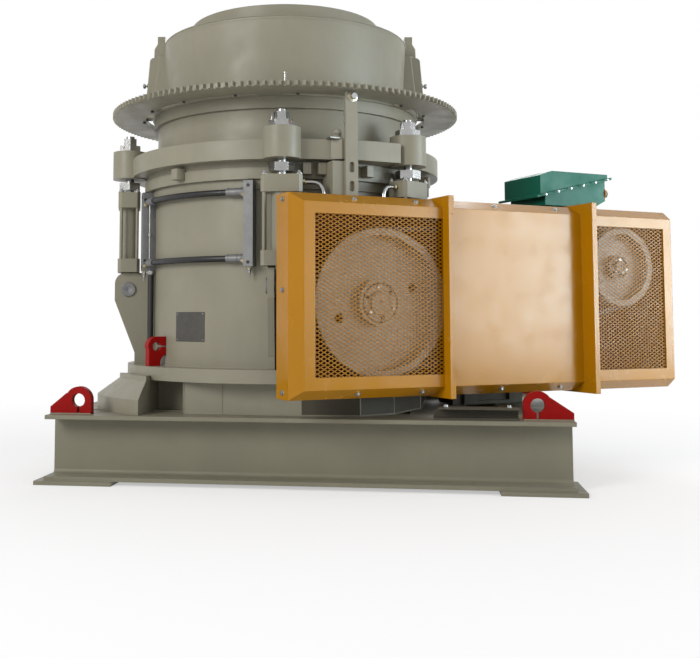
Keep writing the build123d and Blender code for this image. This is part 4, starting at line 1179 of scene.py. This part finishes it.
# Soft boxes: name, place, what it looks at, width, height, power, colour, and whether
# it only shows as a reflection
SOFT_BOXES = (
    ("key", (-4.2, -7.0, 3.9), (0.0, 0.0, 1.1), 3.0, 3.0, 330.0, (1.0, 0.985, 0.95), False),
    ("right_box", (6.9, -1.2, 1.5), (1.2, -0.2, 1.3), 4.4, 2.6, 250.0, (0.88, 0.96, 1.0), False),
    ("rim", (0.5, 6.0, 5.0), (0.0, 0.0, 1.3), 4.0, 3.0, 150.0, (1.0, 1.0, 1.0), False),
    ("right_sheen", (6.9, -1.35, 1.38), (1.6, 0.0, 1.1), 2.6, 1.9, 235.0, (0.66, 0.9, 1.0), True),
    ("wing_sheen", (6.55, -3.3, 1.38), (1.2, -0.4, 1.1), 1.5, 1.9, 85.0, (0.75, 0.93, 1.0), True),
    ("front_sheen", (5.75, -4.75, 1.38), (0.9, -0.5, 1.1), 1.7, 1.9, 32.0, (0.97, 0.99, 1.0), True),
)


def mixed_output(tree, factor, first, second):
    """Mixes two shaders into a material's or world's output."""
    node = tree.nodes.new("ShaderNodeMixShader")
    output = [n for n in tree.nodes if n.type in ("OUTPUT_MATERIAL", "OUTPUT_WORLD")][0]
    tree.links.new(factor, node.inputs[0])
    tree.links.new(first, node.inputs[1])
    tree.links.new(second, node.inputs[2])
    tree.links.new(node.outputs[0], output.inputs["Surface"])


def shows_backdrop(tree):
    """1 for the rays that see the backdrop: from the camera, and off or through a surface."""
    path = tree.nodes.new("ShaderNodeLightPath")
    seen = path.outputs["Is Camera Ray"]
    for name in ("Is Glossy Ray", "Is Transmission Ray"):
        either = tree.nodes.new("ShaderNodeMath")
        either.operation = "MAXIMUM"
        tree.links.new(seen, either.inputs[0])
        tree.links.new(path.outputs[name], either.inputs[1])
        seen = either.outputs[0]
    return seen


def pale_floor():
    """Floor that the camera sees nearly white, with the object's soft shadow on it."""
    floor = bpy.data.meshes.new("floor")
    corners = [(x * FLOOR_REACH, y * FLOOR_REACH, 0) for x, y in ((-1, -1), (1, -1), (1, 1), (-1, 1))]
    floor.from_pydata(corners, [], [(0, 1, 2, 3)])
    ground = bpy.data.objects.new("floor", floor)
    bpy.context.scene.collection.objects.link(ground)
    m = Nodes("floor_material")
    m.link(m.mix(m.ramp(m.noise(0.6), 0.3, 0.7), *FLOOR_COLORS), m.shader.inputs["Base Color"])
    m.set(Roughness=0.85)
    shaded = m.add("ShaderNodeBsdfDiffuse", {"Color": (*FLOOR_SHADED, 1.0)})
    glow = m.add("ShaderNodeEmission", {"Strength": FLOOR_GLOW})
    near = m.add("ShaderNodeAddShader")
    m.link(shaded.outputs[0], near.inputs[0])
    m.link(glow.outputs[0], near.inputs[1])
    white = m.add("ShaderNodeEmission")
    distance = m.add("ShaderNodeVectorMath", operation="LENGTH")
    m.link(m.coords.outputs["Object"], distance.inputs[0])
    seen = m.add("ShaderNodeMixShader")
    m.link(m.ramp(distance.outputs["Value"], *FLOOR_FADE), seen.inputs[0])
    m.link(near.outputs[0], seen.inputs[1])
    m.link(white.outputs[0], seen.inputs[2])
    mixed_output(m.tree, shows_backdrop(m.tree), m.shader.outputs[0], seen.outputs[0])
    floor.materials.append(m.material)


def soft_world():
    """White backdrop for the camera, and a dimmer even light for the object."""
    scene = bpy.context.scene
    world = bpy.data.worlds.new("studio") if scene.world is None else scene.world
    scene.world = world
    world.use_nodes = True
    tree = world.node_tree
    sky = tree.nodes["Background"]
    sky.inputs["Color"].default_value = WORLD_COLOR
    sky.inputs["Strength"].default_value = WORLD_STRENGTH
    white = tree.nodes.new("ShaderNodeBackground")
    white.inputs["Color"].default_value = (1.0, 1.0, 1.0, 1.0)
    white.inputs["Strength"].default_value = 1.0
    mixed_output(tree, shows_backdrop(tree), sky.outputs[0], white.outputs[0])


def soft_lights():
    """The soft boxes of the studio."""
    for name, place, target, width, height, power, color, sheen_only in SOFT_BOXES:
        data = bpy.data.lights.new(name, "AREA")
        data.shape = "RECTANGLE"
        data.size = width
        data.size_y = height
        data.energy = power
        data.color = color
        light = bpy.data.objects.new(name, data)
        light.location = place
        light.visible_diffuse = not sheen_only
        aim = Vector(target) - Vector(place)
        light.rotation_euler = aim.to_track_quat("-Z", "Y").to_euler()
        bpy.context.scene.collection.objects.link(light)


def photo_camera():
    """Camera at the photograph's place and angle."""
    scene = bpy.context.scene
    data = bpy.data.cameras.new("photo_camera")
    data.sensor_width = SENSOR
    data.lens = FOCAL_PIXELS * SENSOR / PHOTO_WIDTH
    data.shift_x = (PHOTO_WIDTH / 2 - PRINCIPAL_X) / PHOTO_WIDTH
    data.shift_y = (PRINCIPAL_Y - PHOTO_HEIGHT / 2) / PHOTO_WIDTH
    data.clip_end = 100.0
    camera = bpy.data.objects.new("photo_camera", data)
    camera.location = CAMERA_PLACE
    camera.rotation_euler = (pi / 2 + CAMERA_PITCH, 0.0, -CAMERA_YAW)
    scene.collection.objects.link(camera)
    scene.camera = camera
    scene.view_settings.view_transform = "Standard"


def build():
    pale_floor()
    soft_world()
    soft_lights()
    photo_camera()
    dress_nodes()
    expanded_mesh("guard_mesh_left")
    expanded_mesh("guard_mesh_right")
    guard_bolts()
    rod_fittings()
    tie_rod_nuts()
    hose_ferrules()
    block_fittings()
    link_pipe()
    drain_hose()
    head_pipes()
    bracket_fittings()
    skirt_apron()
    split_lug("frame_lug_left", FRAME_LUG_ANGLE)
    split_lug("frame_lug_right", FRAME_LUG_ANGLE + 180.0)
    hanger_ribs()
    pin_caps()
    ring_guides()
    gear_screws()
    hanger_bolts()
    name_plate()
    welds()
    base_bolts()
    wheel_hubs()
    terminal_fittings()
    motor_fittings()


build()
